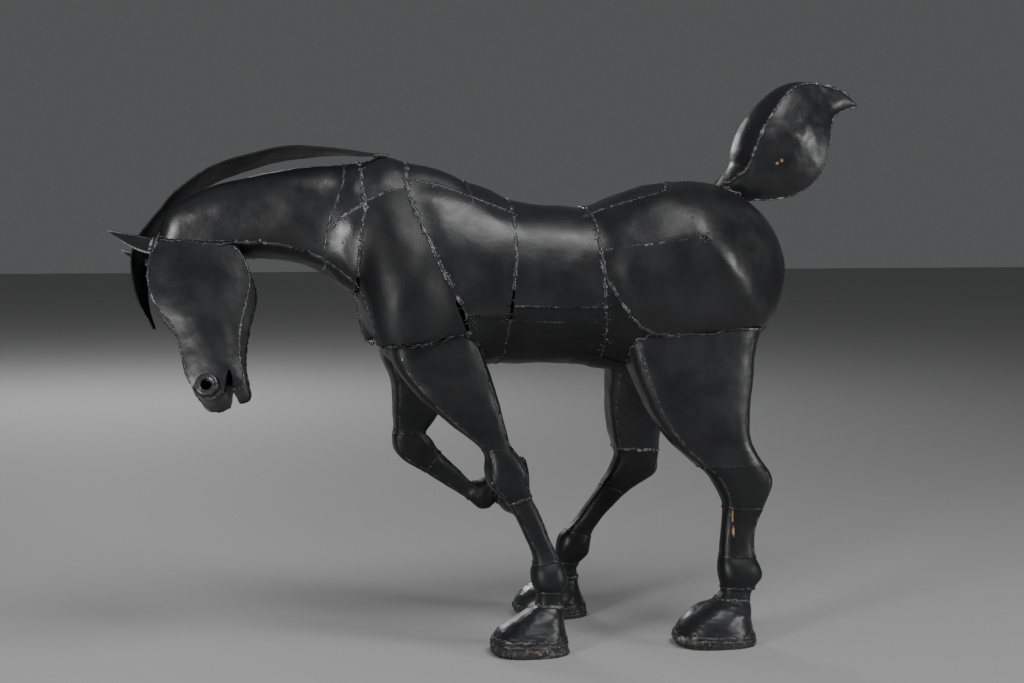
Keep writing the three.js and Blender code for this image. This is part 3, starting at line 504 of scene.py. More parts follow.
def loft(name, rings):
    """A solid through rings of equally many points, with flat ends."""
    rings = np.asarray(rings, float)
    rows, sides = rings.shape[:2]
    points = rings.reshape(-1, 3)
    faces = grid_faces(rows, sides, closed=True)
    for ring in (0, rows - 1):
        hub = len(points)
        points = np.vstack([points, rings[ring].mean(axis=0)])
        start = ring * sides
        turn = 1 if ring == 0 else -1
        faces += [(start + (k + 1) % sides, start + k, hub)[::turn] for k in range(sides)]
    return facing_out(new_mesh(name, points, faces))


def ribbon(points, outwards, across, reach):
    """A cutter that stands through a surface along a path."""
    corners = [points - reach * outwards - across, points + reach * outwards - across,
               points + reach * outwards + across, points - reach * outwards + across]
    return loft("cutter", np.stack(corners, axis=1))


def cut(piece, cutters):
    """Takes solids away from a piece."""
    for cutter in cutters:
        modifier = piece.modifiers.new("cut", "BOOLEAN")
        modifier.operation = "DIFFERENCE"
        modifier.solver = "MANIFOLD"
        modifier.object = cutter
    bpy.context.view_layer.update()
    made = bpy.data.meshes.new_from_object(piece.evaluated_get(bpy.context.evaluated_depsgraph_get()))
    piece.modifiers.clear()
    piece.data = made
    return piece


def discard(objects):
    for unwanted in objects:
        bpy.data.objects.remove(unwanted)


def extruded(outline, low_y=-500, high_y=500):
    """A side-view outline made solid from one y to another."""
    outline = np.asarray(outline, float)
    count = len(outline)
    points = [[x, y, z] for y in (low_y, high_y) for x, z in outline]
    faces = [tuple(range(count)), tuple(range(2 * count - 1, count - 1, -1))]
    faces += [(k, (k + 1) % count, (k + 1) % count + count, k + count)[::-1] for k in range(count)]
    return facing_out(new_mesh("cutter", points, faces))


def wall(line):
    """A wall as wide as a joint, standing along a side-view line."""
    line = np.asarray(line, float)
    direction = unit(np.gradient(line, axis=0))
    across = np.stack([-direction[:, 1], direction[:, 0]], axis=-1) * JOINT / 2
    return extruded(np.vstack([line + across, (line - across)[::-1]]))


def block(low, high):
    corners = np.array(list(itertools.product(*zip(low, high))), float)
    faces = [(0, 1, 3, 2), (4, 6, 7, 5), (0, 4, 5, 1), (2, 3, 7, 6), (0, 2, 6, 4), (1, 5, 7, 3)]
    return facing_out(new_mesh("block", corners, faces))


# ---- Materials ----


def steel(name, colour, worn, roughness, wear, grain, rust=True, shine=0.5):
    """Satin paint over hammered steel: clouded colour, patchy gloss, fine grain, worn spots and rust."""
    material = bpy.data.materials.new(name)
    material.use_nodes = True
    nodes, links = material.node_tree.nodes, material.node_tree.links
    shader = nodes["Principled BSDF"]
    shader.inputs["Specular IOR Level"].default_value = shine
    where = nodes.new("ShaderNodeTexCoord").outputs["Object"]

    def noise_node(scale, detail=4, rough=0.55, distortion=0.0):
        node = nodes.new("ShaderNodeTexNoise")
        node.inputs["Scale"].default_value = scale
        node.inputs["Detail"].default_value = detail
        node.inputs["Roughness"].default_value = rough
        node.inputs["Distortion"].default_value = distortion
        links.new(where, node.inputs["Vector"])
        return node.outputs["Fac"]

    def ranged(value, low, high, to_low, to_high):
        node = nodes.new("ShaderNodeMapRange")
        node.interpolation_type = "SMOOTHSTEP"
        sockets = {"From Min": low, "From Max": high, "To Min": to_low, "To Max": to_high}
        for socket, number in sockets.items():
            node.inputs[socket].default_value = number
        links.new(value, node.inputs["Value"])
        return node.outputs["Result"]

    def math_node(operation, first, second):
        node = nodes.new("ShaderNodeMath")
        node.operation = operation
        for socket, value in zip(node.inputs, (first, second)):
            if isinstance(value, (int, float)):
                socket.default_value = value
            else:
                links.new(value, socket)
        return node.outputs[0]

    def vector_node(operation, first, second=None):
        node = nodes.new("ShaderNodeVectorMath")
        node.operation = operation
        links.new(first, node.inputs[0])
        if second is not None:
            node.inputs[1].default_value = second
        return node.outputs

    def mixed(factor, first, second):
        node = nodes.new("ShaderNodeMix")
        node.data_type = "RGBA"
        links.new(factor, node.inputs["Factor"])
        for socket, value in ((node.inputs["A"], first), (node.inputs["B"], second)):
            if isinstance(value, tuple):
                socket.default_value = (*value, 1)
            else:
                links.new(value, socket)
        return node.outputs["Result"]

    # Broad clouds of lighter and darker paint
    cloud = ranged(noise_node(7, 5, 0.6), 0.35, 0.7, 0, 1)
    base = mixed(cloud, tuple(0.75 * c for c in colour), tuple(1.3 * c for c in colour))
    # Small scuffs, gathered in patches
    scuff = ranged(noise_node(90, 6, 0.65), 0.66 - wear, 0.78 - wear, 0, 1)
    patches = ranged(noise_node(11, 3), 0.45, 0.65, 0.15, 1)
    base = mixed(math_node("MULTIPLY", scuff, patches), base, worn)
    # Gloss that differs from hand's breadth to hand's breadth
    gloss = ranged(noise_node(16, 5, 0.6), 0.3, 0.7, roughness - 0.07, roughness + 0.09)
    if rust:
        edge = noise_node(260, 4, 0.7)
        spots = None
        for x, y, z, radius, tall in RUST_SPOTS:
            away = vector_node("SUBTRACT", where, place([x, y, z])[0])["Vector"]
            away = vector_node("MULTIPLY", away, (1, RUST_DEPTH, 1 / tall))["Vector"]
            away = vector_node("LENGTH", away)["Value"]
            spot = ranged(away, 0.1 * radius / 1000, 1.3 * radius / 1000, 0.6, 0)
            spots = spot if spots is None else math_node("MAXIMUM", spots, spot)
        mask = ranged(math_node("ADD", spots, math_node("MULTIPLY", edge, 0.9)), 0.74, 0.86, 0, 1)
        tint = mixed(ranged(noise_node(400, 3), 0.4, 0.6, 0, 1), RUST_DARK, RUST_LIGHT)
        base = mixed(mask, base, tint)
        gloss = math_node("MAXIMUM", gloss, math_node("MULTIPLY", mask, 0.75))
    links.new(base, shader.inputs["Base Color"])
    links.new(gloss, shader.inputs["Roughness"])
    # Orange peel in the paint, and a finer grain on it
    height = math_node("ADD", math_node("MULTIPLY", noise_node(60, 3), 1.0),
                       math_node("MULTIPLY", noise_node(420, 3, 0.6), 0.22))
    bump = nodes.new("ShaderNodeBump")
    bump.inputs["Strength"].default_value = grain
    bump.inputs["Distance"].default_value = 0.0012
    links.new(height, bump.inputs["Height"])
    links.new(bump.outputs["Normal"], shader.inputs["Normal"])
    return material


PAINT = steel("satin_black_paint", colour=(0.013, 0.0135, 0.0148), worn=(0.04, 0.041, 0.044),
              roughness=0.35, wear=0.0, grain=0.34)
# A darker, duller copy of the paint: its darker colour is painted shade on the undersides, legs, mane and
# belly lap
DULL_PAINT_WITH_PAINTED_SHADE = steel("dull_black_paint", colour=(0.0105, 0.011, 0.012), worn=(0.03, 0.03, 0.033),
                   roughness=0.44, wear=0.0, grain=0.3, shine=0.3)
WELD = steel("painted_weld", colour=(0.03, 0.03, 0.032), worn=(0.25, 0.25, 0.26), roughness=0.28,
             wear=0.165, grain=1.0)
DULL_WELD = steel("dull_painted_weld", colour=(0.026, 0.026, 0.027), worn=(0.12, 0.12, 0.125),
                  roughness=0.36, wear=0.14, grain=0.9)
BARE = steel("worn_bare_steel", colour=(0.03, 0.028, 0.025), worn=(0.34, 0.29, 0.2), roughness=0.5,
             wear=0.12, grain=1.0, rust=False)


def finish_piece(piece, material, node=None, sharp=34):
    """Gives a piece its paint, smooth shading with hard corners and its body, and hides the part it stands
    for.
    """
    mesh = piece.data
    mesh.materials.clear()
    mesh.materials.append(material)
    mesh.polygons.foreach_set("use_smooth", [True] * len(mesh.polygons))
    mesh.set_sharp_from_angle(angle=math.radians(sharp))
    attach(piece, "root")
    if node:
        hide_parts(node)
    return piece


# ---- Weld beads ----

BEAD_STEP = 1.6
BEAD_SIDES = 10
BEAD_FOOT = 1.1  # how deep a bead is sunk into the joint
SEAM_CUT = 14  # how far a lengthwise joint's cut reaches to either side of the surface


def picked(at, s, values):
    """Rows of three numbers given at places s, read between them at other places."""
    return np.stack([np.interp(at, s, values[:, k]) for k in range(3)], axis=-1)


def resampled(points, normals, step):
    """A path at even steps: the distance along it, its points and its normals."""
    gaps = np.linalg.norm(np.diff(points, axis=0), axis=1)
    s = np.concatenate([[0], np.cumsum(gaps)])
    count = max(int(s[-1] / step), 4)
    at = np.linspace(0, s[-1], count + 1)
    return at, picked(at, s, points), unit(picked(at, s, normals))


def smoothed(values, reach):
    kernel = np.hanning(2 * reach + 3)[1:-1]
    kernel /= kernel.sum()
    padded = np.vstack([np.repeat(values[:1], reach, 0), values, np.repeat(values[-1:], reach, 0)])
    return np.stack([np.convolve(padded[:, k], kernel, "valid") for k in range(3)], axis=-1)


def bead(name, points, normals, width=7.0, height=2.4, seed=1, pits=0.35, wander=0.8, material=None,
         holes=()):
    """A hand-laid weld bead along a path: overlapping lumps that wander, with pits where it failed."""
    points, normals = np.asarray(points, float), unit(np.asarray(normals, float))
    s, points, normals = resampled(points, normals, BEAD_STEP)
    if len(points) > 8:
        points, normals = smoothed(points, 2), unit(smoothed(normals, 3))
    travel = unit(np.gradient(points, axis=0))
    across = unit(np.cross(normals, travel))
    points = points + across * (wander * noise_along(s, 15, seed))[:, None]
    lumps = 0.85 + 0.42 * noise_along(s, 10, seed + 1) + 0.22 * noise_along(s, 4.5, seed + 2)
    ripple = 1 + 0.16 * np.sin(2 * np.pi * s / 4.4 + 2.5 * noise_along(s, 12, seed + 3))
    failed = smoothstep(noise_along(s, 16, seed + 4), pits, pits + 0.12)
    for centre, length in holes:
        away = np.linalg.norm(points - centre, axis=1)
        failed = np.maximum(failed, 1 - smoothstep(away, length / 2 - 1, length / 2 + 1.5))
    ends = smoothstep(np.minimum(s, s[-1] - s), -1.5, 4)
    halves = [width / 2 * np.clip(lumps + 0.34 * noise_along(s, 6.5, seed + k), 0.55, 1.55)
              * (1 - 0.45 * failed) * ends for k in (7, 8)]
    rise = height * np.clip(lumps, 0.45, 1.5) * ripple * (1 - 0.95 * failed) * ends - 1.0 * failed
    angle = np.linspace(0, 2 * np.pi, BEAD_SIDES, endpoint=False) + 0.2
    c, sn = np.cos(angle), np.sin(angle)
    up = np.where(sn > 0, sn, 0)[None, :] * rise[:, None] - np.where(sn < 0, -sn, 0)[None, :] * BEAD_FOOT
    left, right = halves
    side = np.where(c > 0, c, 0)[None, :] * left[:, None] + np.where(c < 0, c, 0)[None, :] * right[:, None]
    rings = points[:, None] + across[:, None] * side[..., None] + normals[:, None] * up[..., None]
    rough = noise(rings / 3.6, seed + 5) * 0.6 + noise(rings / 1.9, seed + 6) * 0.25
    rings = rings + normals[:, None] * (rough * (sn > -0.1)[None, :])[..., None]
    return finish_piece(loft(name, rings), material or WELD, sharp=75)


def round_bead(name, ring, width, height, **looks):
    """A bead right round a leg."""
    ring = np.vstack([ring, ring[:1]])
    return bead(name, ring, unit(ring - ring.mean(axis=0)), width, height, **looks)


def blobs(name, centres, normals, radii, seed=1, material=None):
    """Droplets of spatter and stray lumps of weld metal, sunk a little into the steel."""
    latitudes = np.radians([55, 25, 0, -35])
    sides, last = 9, 27  # round each lump, and where its lowest ring starts
    longitudes = np.linspace(0, 2 * np.pi, sides, endpoint=False)
    shape = np.array([[0, 0, 1]] + [[math.cos(a) * math.cos(b), math.cos(a) * math.sin(b), math.sin(a)]
                                    for a in latitudes for b in longitudes] + [[0, 0, -1]])
    faces = [(0, 1 + k, 1 + (k + 1) % sides) for k in range(sides)]
    faces += [tuple(1 + v for v in f) for f in grid_faces(len(latitudes), sides, closed=True)]
    faces += [(1 + last + (k + 1) % sides, 1 + last + k, len(shape) - 1) for k in range(sides)]
    points, all_faces = [], []
    for i, (centre, normal, radius) in enumerate(zip(centres, normals, radii)):
        n = unit(np.asarray(normal, float))
        a = unit(np.cross(n, [0.3, 0.2, 0.9]))
        b = np.cross(n, a)
        lump = shape * radius * np.array([1, 1, 0.62])
        lump = lump * (1 + 0.3 * noise(shape * 1.4 + 3.1 * i, seed))[:, None]
        all_faces += [tuple(v + len(points) for v in f) for f in faces]
        points += (np.asarray(centre) + lump @ np.stack([a, b, n])).tolist()
    return finish_piece(facing_out(new_mesh(name, np.array(points), all_faces)), material or WELD, sharp=80)


# ---- The body ----

rng = np.random.default_rng(5)


def haunch_rise(p):
    apex = HAUNCH_APEX
    away = np.sqrt((p[..., 0] - apex["x"]) ** 2 + (p[..., 2] - apex["z"]) ** 2 + apex["blunt"] ** 2)
    return (apex["height"] * np.maximum(0, 1 - away / apex["reach"])
            * np.minimum(np.abs(p[..., 1]) / apex["fade"], 1))


def section(first, second, right, half, widest, square_first, square_second, angle):
    """Points on a rounded section between two ends; angle 0 is at the first end, 90 degrees left."""
    middle = first + (second - first) * widest
    c, s = np.cos(angle)[..., None], np.sin(angle)[..., None]
    power = 2 / np.where(c > 0, square_first, square_second)
    reach = np.where(c > 0, first, second) - middle
    return middle + reach * np.abs(c) ** power - right * np.sign(s) * half * np.abs(s) ** power


def body_surface(place, angle):
    place, angle = np.broadcast_arrays(np.asarray(place, float), np.asarray(angle, float))
    rows = along(BODY, place)
    half, widest, above, below = (rows[..., k:k + 1] for k in range(6, 10))
    p = section(rows[..., 0:3], rows[..., 3:6], rightward(rows[..., 10]), half, widest, above, below, angle)
    p[..., 1] += np.sign(p[..., 1]) * haunch_rise(p)
    return p


def body_middle(places):
    return (body_surface(places, 0) + body_surface(places, math.pi)) / 2


def body_grid(per_row=6, sides=112):
    places = np.linspace(0, len(BODY) - 1, per_row * (len(BODY) - 1) + 1)
    angles = np.linspace(0, 2 * np.pi, sides, endpoint=False)
    return body_surface(places[:, None], angles[None, :])


def body_normals(grid):
    """Outward normals of the body, whose last ring is the single point of the rump."""
    normals = outward(grid)
    normals[-1] = [1, 0, 0]
    return normals


def tree_of(grid):
    """A tree for finding the surface of a closed grid, in millimetres."""
    rows, columns = grid.shape[:2]
    return BVHTree.FromPolygons(grid.reshape(-1, 3).tolist(), grid_faces(rows, columns, closed=True))


TRACE_GAP = 3  # how closely the points of a traced line lie


def trace(tree, line, side):
    """Where an upright wall along a side-view line meets the surface, seen from one side."""
    line = np.asarray(line, float)
    s = np.concatenate([[0], np.cumsum(np.linalg.norm(np.diff(line, axis=0), axis=1))])

    def hit(t):
        x, z = np.interp(t, s, line[:, 0]), np.interp(t, s, line[:, 1])
        where, normal, _, _ = tree.ray_cast(Vector((x, 400 * side, z)), Vector((0, -side, 0)))
        if where is None:
            return None
        normal = np.array(normal)
        return t, np.array(where), normal if normal[1] * side > 0 else -normal

    found = []

    def refine(t0, h0, t1, h1, depth):
        if depth == 0 or (h0 is None and h1 is None):
            return
        if h0 is not None and h1 is not None and np.linalg.norm(h0[1] - h1[1]) < TRACE_GAP:
            return
        middle = (t0 + t1) / 2
        h = hit(middle)
        if h is not None:
            found.append(h)
        refine(t0, h0, middle, h, depth - 1)
        refine(middle, h, t1, h1, depth - 1)

    ts = np.linspace(0, s[-1], max(int(s[-1] / 4), 4))  # about 4 mm apart in side view
    hits = [hit(t) for t in ts]
    found += [h for h in hits if h is not None]
    for t0, h0, t1, h1 in zip(ts, hits, ts[1:], hits[1:]):
        refine(t0, h0, t1, h1, depth=12)
    found.sort(key=lambda h: h[0])
    whole = hits[0] is not None, hits[-1] is not None
    return np.array([h[1] for h in found]), np.array([h[2] for h in found]), whole


def seam_paths(tree):
    """The path of every joint of the body over its surface: name, points and normals."""
    paths = []
    for name, line in BODY_JOINTS.items():
        left, right = trace(tree, line, -1), trace(tree, line, 1)
        if len(left[0]) < 3 or len(right[0]) < 3:
            continue
        at_start, at_end = left[2]
        if at_start and at_end:
            paths += [(name + "_left", left[0], left[1]), (name + "_right", right[0], right[1])]
        elif at_end:
            joined = [np.vstack([left[k][::-1], right[k]]) for k in (0, 1)]
            paths.append((name, *joined))
        else:
            joined = [np.vstack([left[k], right[k][::-1]]) for k in (0, 1)]
            if not at_start:
                joined = [np.vstack([j, j[:1]]) for j in joined]
            paths.append((name, *joined))
    lengthwise = [(f"seam_{s['degrees']}", s["from"], s["to"], s["degrees"]) for s in BODY_SEAMS]
    for name, start, end, degrees in lengthwise + RUMP_SEAMS:
        places = np.linspace(max(start, 0), end, int(10 * (end - start)))
        hits = [tree.find_nearest(Vector(p)) for p in body_surface(places, math.radians(degrees))]
        points, normals = np.array([h[0] for h in hits]), np.array([h[1] for h in hits])
        away = points - body_middle(places)
        normals = np.where(np.sum(normals * away, axis=-1, keepdims=True) < 0, -normals, normals)
        paths.append((name, points, normals))
    return paths


def fold_height(x, z):
    """How far the fold across each haunch stands out at a place in side view."""
    nearest, height, above = np.full(x.shape, 1e9), np.zeros(x.shape), np.zeros(x.shape, bool)
    for (x0, z0, h0), (x1, z1, h1) in zip(HAUNCH_RIDGE, HAUNCH_RIDGE[1:]):
        t = ((x - x0) * (x1 - x0) + (z - z0) * (z1 - z0)) / ((x1 - x0) ** 2 + (z1 - z0) ** 2)
        t = np.clip(t, 0, 1)
        away = np.hypot(x - x0 - t * (x1 - x0), z - z0 - t * (z1 - z0))
        height = np.where(away < nearest, h0 + t * (h1 - h0), height)
        above = np.where(away < nearest, (z - z0) * (x1 - x0) > (x - x0) * (z1 - z0), above)
        nearest = np.minimum(away, nearest)
    steep = np.exp(-(np.hypot(nearest, 2) - 2) / RIDGE_REACH["below"])
    return height * np.where(above, 1 - smoothstep(nearest, -8, RIDGE_REACH["above"]), steep)


def foot_line(name, x):
    line = np.array(BODY_JOINTS[name], float)
    return np.interp(x, line[:, 0], line[:, 1])


def relief(grid):
    """How the plates stand out from the body's plain shape: folds, the points of the shoulders, laps."""
    x, y, z = grid[..., 0], np.abs(grid[..., 1]), grid[..., 2]
    sides = smoothstep(y, 40, 90)
    push = fold_height(x, z) * sides
    aside, above = (x - HAUNCH_TOP["x"]) / HAUNCH_TOP["wide"], (z - HAUNCH_TOP["z"]) / HAUNCH_TOP["tall"]
    push += HAUNCH_TOP["height"] * sides * np.exp(-aside ** 2 - above ** 2)
    hammered = np.exp(-np.hypot(x - HAMMERED["x"], z - HAMMERED["z"]) / HAMMERED["reach"])
    push += HAMMERED["depth"] * hammered * noise(grid / HAMMERED["size"], 12) * sides
    x0, x1, x2, x3 = SHOULDER_BULGE["x"]
    bulge = smoothstep(x, x0, x1) * (1 - smoothstep(x, x2, x3))
    bulge *= 1 - smoothstep(z, *SHOULDER_BULGE["z"])
    rise = z - foot_line("shoulderFoot", x)
    push += SHOULDER_BULGE["height"] * bulge * smoothstep(rise, -3, 3) * sides
    over_leg = smoothstep(x, *LEG_TOP["front"]) * (1 - smoothstep(x, *LEG_TOP["rear"]))
    over_leg *= smoothstep(rise, *LEG_TOP["below_foot"])
    push -= LEG_TOP["recess"] * over_leg * (1 - smoothstep(rise, -6, 1)) * sides
    belly = np.where(x < BELLY_LAP["step_at"], foot_line("ribFoot", x), foot_line("saddleFoot", x))
    rise = z - belly
    along_belly = smoothstep(x, *BELLY_LAP["front"]) * (1 - smoothstep(x, *BELLY_LAP["rear"]))
    push -= BELLY_LAP["depth"] * along_belly * (1 - smoothstep(rise, -4, 2))
    push += BELLY_LAP["lip"] * along_belly * np.exp(-np.abs(rise - 4) / BELLY_LAP["lip_reach"]) * (rise > 0)
    return push


def body_shape():
    """The body's dented outer surface, drawn in a little along its joints."""
    grid = body_grid()
    joints = np.vstack([resampled(points, points, 5)[1] for _, points, _ in seam_paths(tree_of(grid))])
    tree = KDTree(len(joints))
    for k, p in enumerate(joints):
        tree.insert(Vector(p), k)
    tree.balance()
    away = np.array([tree.find(Vector(p))[2] for p in grid.reshape(-1, 3)]).reshape(grid.shape[:2])
    pulled = SEAM_PULL["pillow"] * smoothstep(away, 0, SEAM_PULL["reach"]) - SEAM_PULL["depth"]
    push = dents(grid) * smoothstep(away, -12, 26) + pulled + relief(grid)
    push[-3:] *= np.array([0.6, 0.3, 0])[:, None]  # less towards the single point of the rump
    return grid + body_normals(grid) * push[..., None]


def closed_grid(grid, start_cap=True):
    """A closed mesh over the body's grid, whose last ring is a single point."""
    rows, sides = grid.shape[:2]
    points = np.vstack([grid[:-1].reshape(-1, 3), grid[-1, :1]])
    tip = len(points) - 1
    faces = grid_faces(rows - 1, sides, closed=True)
    last = (rows - 2) * sides
    faces += [(last + k, last + (k + 1) % sides, tip) for k in range(sides)]
    if start_cap:
        points = np.vstack([points, grid[0].mean(axis=0)])
        faces += [((k + 1) % sides, k, tip + 1) for k in range(sides)]
    return points, faces


SLITS = {"first": (10, 60), "apart": (28, 95), "length": (6, 17), "width": (1.2, 2.3), "reach": 9,
         "last": 20}  # the last starts this far before the seam's end
SLIT_SHAPE = np.array([0.15, 1, 0.75, 1, 0.1])  # widths along a slit


def hole_cutters(paths):
    """Slits through the joints where the weld failed, and where they are: centre and length."""
    cutters, holes = [], []
    for _, points, normals in paths:
        s, fine, leans = resampled(points, normals, 2)
        at = rng.uniform(*SLITS["first"])
        while at < s[-1] - SLITS["last"]:
            length, width = rng.uniform(*SLITS["length"]), rng.uniform(*SLITS["width"])
            here = np.linspace(at, at + length, len(SLIT_SHAPE))
            p, n = picked(here, s, fine), unit(picked(here, s, leans))
            across = unit(np.cross(n, np.gradient(p, axis=0)))
            across *= (width * SLIT_SHAPE * rng.uniform(0.8, 1.2, len(SLIT_SHAPE)))[:, None]
            cutters.append(ribbon(p, n, across, SLITS["reach"]))
            holes.append((p[2], length))
            at += length + rng.uniform(*SLITS["apart"])
    return cutters, holes


def within(outline, x, z):
    """Whether a point in side view lies inside an outline."""
    inside = False
    for (x1, z1), (x2, z2) in zip(outline, outline[1:] + outline[:1]):
        if (z1 > z) != (z2 > z) and x < x1 + (z - z1) * (x2 - x1) / (z2 - z1):
            inside = not inside
    return inside


SMALLEST_PLATE = 0.02  # metres; anything smaller is a crumb from the cutting


def add_body(shape, paths):
    """Cuts the body's sheet along every joint into its plates. Returns where slits are."""
    outer_points, outer_faces = closed_grid(shape, start_cap=False)
    inner_points, inner_faces = closed_grid(shape - SHEET * body_normals(shape), start_cap=False)
    count, sides = len(outer_points), shape.shape[1]
    faces = outer_faces + [tuple(v + count for v in f[::-1]) for f in inner_faces]
    faces += [((k + 1) % sides, k, k + count, (k + 1) % sides + count) for k in range(sides)]
    shell = facing_out(new_mesh("shell", np.vstack([outer_points, inner_points]), faces))
    cutters = [wall(line) for line in BODY_JOINTS.values()]
    for seam in BODY_SEAMS:
        places = np.linspace(seam["from"], seam["to"], 8 * seam["count"])
        line = body_surface(places, math.radians(seam["degrees"]))
        outwards = unit(line - body_middle(places))
        across = unit(np.cross(outwards, np.gradient(line, axis=0))) * JOINT / 2
        cutters.append(ribbon(line, outwards, across, SEAM_CUT))
    for joint in RUMP_JOINTS:
        (x0, x1), (z0, z1) = joint["x"], joint["z"]
        cutters.append(block([x0, -JOINT / 2, z0], [x1, JOINT / 2, z1]))
    cutters += [extruded(outline, -500, -20) for outline in OPEN_SLOTS]
    cutters += [extruded(outline, 20, 500) for outline in OPEN_SLOTS_RIGHT]
    more, holes = hole_cutters(paths)
    cutters += more
    cut(shell, cutters)
    discard(cutters)
    bpy.ops.object.select_all(action="DESELECT")
    shell.select_set(True)
    bpy.context.view_layer.objects.active = shell
    bpy.ops.mesh.separate(type="LOOSE")
    plates = []
    for plate in bpy.context.selected_objects:
        corners = np.array([v.co for v in plate.data.vertices])
        if np.prod(np.ptp(corners, axis=0)) ** (1 / 3) > SMALLEST_PLATE:
            plates.append((plate, corners * 1000 - SHIFT))
        else:
            discard([plate])
    for plate, at, paired in BODY_PLATES:
        for side, sign in SIDES if paired else [("", -1)]:
            probe = np.array(at) * [1, -sign, 1]
            reach = [np.min(np.linalg.norm(corners - probe, axis=1)) for _, corners in plates]
            piece = plates[int(np.argmin(reach))][0]
            name = f"{plate}_{side}" if side else plate
            piece.name = "painted_" + name
            # the underside plates get the darker paint as painted shade
            finish_piece(piece, DULL_PAINT_WITH_PAINTED_SHADE if name.startswith(SHADED_UNDERSIDES) else PAINT, name)
    discard([piece for piece, _ in plates if not piece.name.startswith("painted_")])
    return holes


# ---- Welds and marks of the body ----

PLAIN_BEAD = (7.5, 2.1, 0.38)  # width, height and how few pits
BODY_BEADS = {  # the same, for the seams that differ from the rest
    "neckToTrunk": (10, 3.2, 0.36), "shoulderRear": (8.5, 2.6, 0.36), "saddleFront": (8, 2.4, 0.3),
    "saddleRear": (9, 2.8, 0.4), "haunchFoot_left": (13, 3.4, 0.4), "haunchFoot_right": (11, 3, 0.4),
    "neckPlates": (7, 1.6, 0.4), "neckWedge_left": (8, 1.8, 0.5), "neckWedge_right": (8, 1.8, 0.5),
    "ribFoot_left": (3, 0.7, 0.0), "ribFoot_right": (3, 0.7, 0.0), "saddleFoot_left": (4.5, 1.2, 0.2),
    "saddleFoot_right": (4.5, 1.2, 0.2), "backSplit": (6, 1.4, 0.4), "seam_0": (5.5, 1.8, 0.4),
    "rump_top": (5.5, 1.4, 0.5), "rump_under": (7, 2, 0.5),
}
DULL_SEAMS = (
    "ribFoot_left", "ribFoot_right", "seam_135", "seam_-135", "rump_under", "backSplit", "ribTop_left",
    "ribTop_right", "loinFoot",
)
LOW_WELDS = {"below": 586, "size": 0.55}  # under this height the welds across the belly are slight
LUMPS = {"step": 2, "chance": 0.028, "spread": 0.42, "sunk": 0.3, "smallest": 0.8, "growth": 0.22}
SPATTER = [  # x, z, how far it spreads along and up, and how many drops, all on the left side
    (128, 572, 7, 7, 22), (142, 530, 14, 5, 26), (-40, 569, 8, 4, 12), (-92, 565, 6, 14, 20),
    (140, 600, 6, 16, 18), (-240, 790, 22, 9, 5), (-296, 700, 10, 30, 6), (126, 700, 5, 26, 12),
]
FLAP = {"x": (104, 178), "y": (-74, 20), "thickness": 2, "gap": 0.6, "drop": 4.5, "sprung_by": 160}


def add_body_welds(paths, holes):
    outlines = [(-1, outline) for outline in OPEN_SLOTS] + [(1, outline) for outline in OPEN_SLOTS_RIGHT]
    for k, (name, points, normals) in enumerate(paths):
        width, height, pits = BODY_BEADS.get(name, PLAIN_BEAD)
        open_here = np.array([any(y * side > 0 and within(outline, x, z) for side, outline in outlines)
                              for x, y, z in points])
        low = (points[:, 2] < LOW_WELDS["below"]) & name.startswith("saddle")
        runs = np.split(np.arange(len(points)), np.flatnonzero(np.diff(2 * open_here + low)) + 1)
        for part, run in enumerate(r for r in runs if len(r) > 3 and not open_here[r[0]]):
            slight = low[run[0]]
            size = LOW_WELDS["size"] if slight else 1
            bead(f"weld_{name}_{part}", points[run], normals[run], size * width, size * height,
                 seed=k + 7 * part, pits=pits, holes=holes, wander=1.2,
                 material=DULL_WELD if slight or name in DULL_SEAMS else WELD)
        _, fine, leans = resampled(points, normals, LUMPS["step"])
        chosen = rng.random(len(fine)) < LUMPS["chance"] * width
        count = int(chosen.sum())
        aside = unit(np.cross(leans, np.gradient(fine, axis=0)))[chosen]
        spots = fine[chosen] + aside * rng.normal(size=(count, 1)) * LUMPS["spread"] * width
        spots -= LUMPS["sunk"] * leans[chosen]
        if count:
            largest = LUMPS["smallest"] + LUMPS["growth"] * width
            blobs(f"weld_{name}_lumps", spots, leans[chosen], rng.uniform(LUMPS["smallest"], largest, count),
                  seed=k)


def on_surface(tree, points, side):
    """Where points in side view lie on one side of the body, with the normals there."""
    hits = [tree.ray_cast(Vector((x, 400 * side, z)), Vector((0, -side, 0))) for x, z in points]
    hits = [h for h in hits if h[0] is not None]
    return np.array([h[0] for h in hits]), np.array([np.array(h[1]) * np.sign(h[1][1] * side) for h in hits])


def add_scored_line(name, tree, line, side, steps, sunk, width, height, seed):
    points, normals = on_surface(tree, along(line, np.linspace(0, len(line) - 1, steps)), side)
    bead(name, points - sunk * normals, normals, width, height, seed=seed, pits=0.3)


def add_drops(name, tree, centre, spread, count, side, smallest, largest, seed, material=None):
    scattered = np.array(centre) + rng.normal(size=(count, 2)) * spread
    points, normals = on_surface(tree, scattered, side)
    blobs(name, points, normals, rng.uniform(smallest, largest, len(points)), seed=seed, material=material)


def add_body_marks(tree):
    """The ground-down dart of each haunch with the pit at its point, a scored line, and spatter."""
    apex = (HAUNCH_APEX["x"], HAUNCH_APEX["z"])
    for side, sign in SIDES:
        add_scored_line(f"weld_haunch_dart_{side}", tree, HAUNCH_DART, sign, steps=60, sunk=0.4, width=3.6,
                        height=0.9, seed=31)
        add_drops(f"weld_haunch_point_{side}", tree, apex, [9, 4.5], 26, sign, 1.0, 3.2, seed=3)
    add_scored_line("weld_belly_line", tree, BELLY_SCRATCH, -1, steps=50, sunk=0.3, width=2.4, height=0.7,
                    seed=41)
    for k, (x, z, spread_x, spread_z, count) in enumerate(SPATTER):
        add_drops(f"weld_spatter_{k}", tree, (x, z), [spread_x, spread_z], count, -1, 0.6, 2.3, seed=k,
                  material=PAINT)


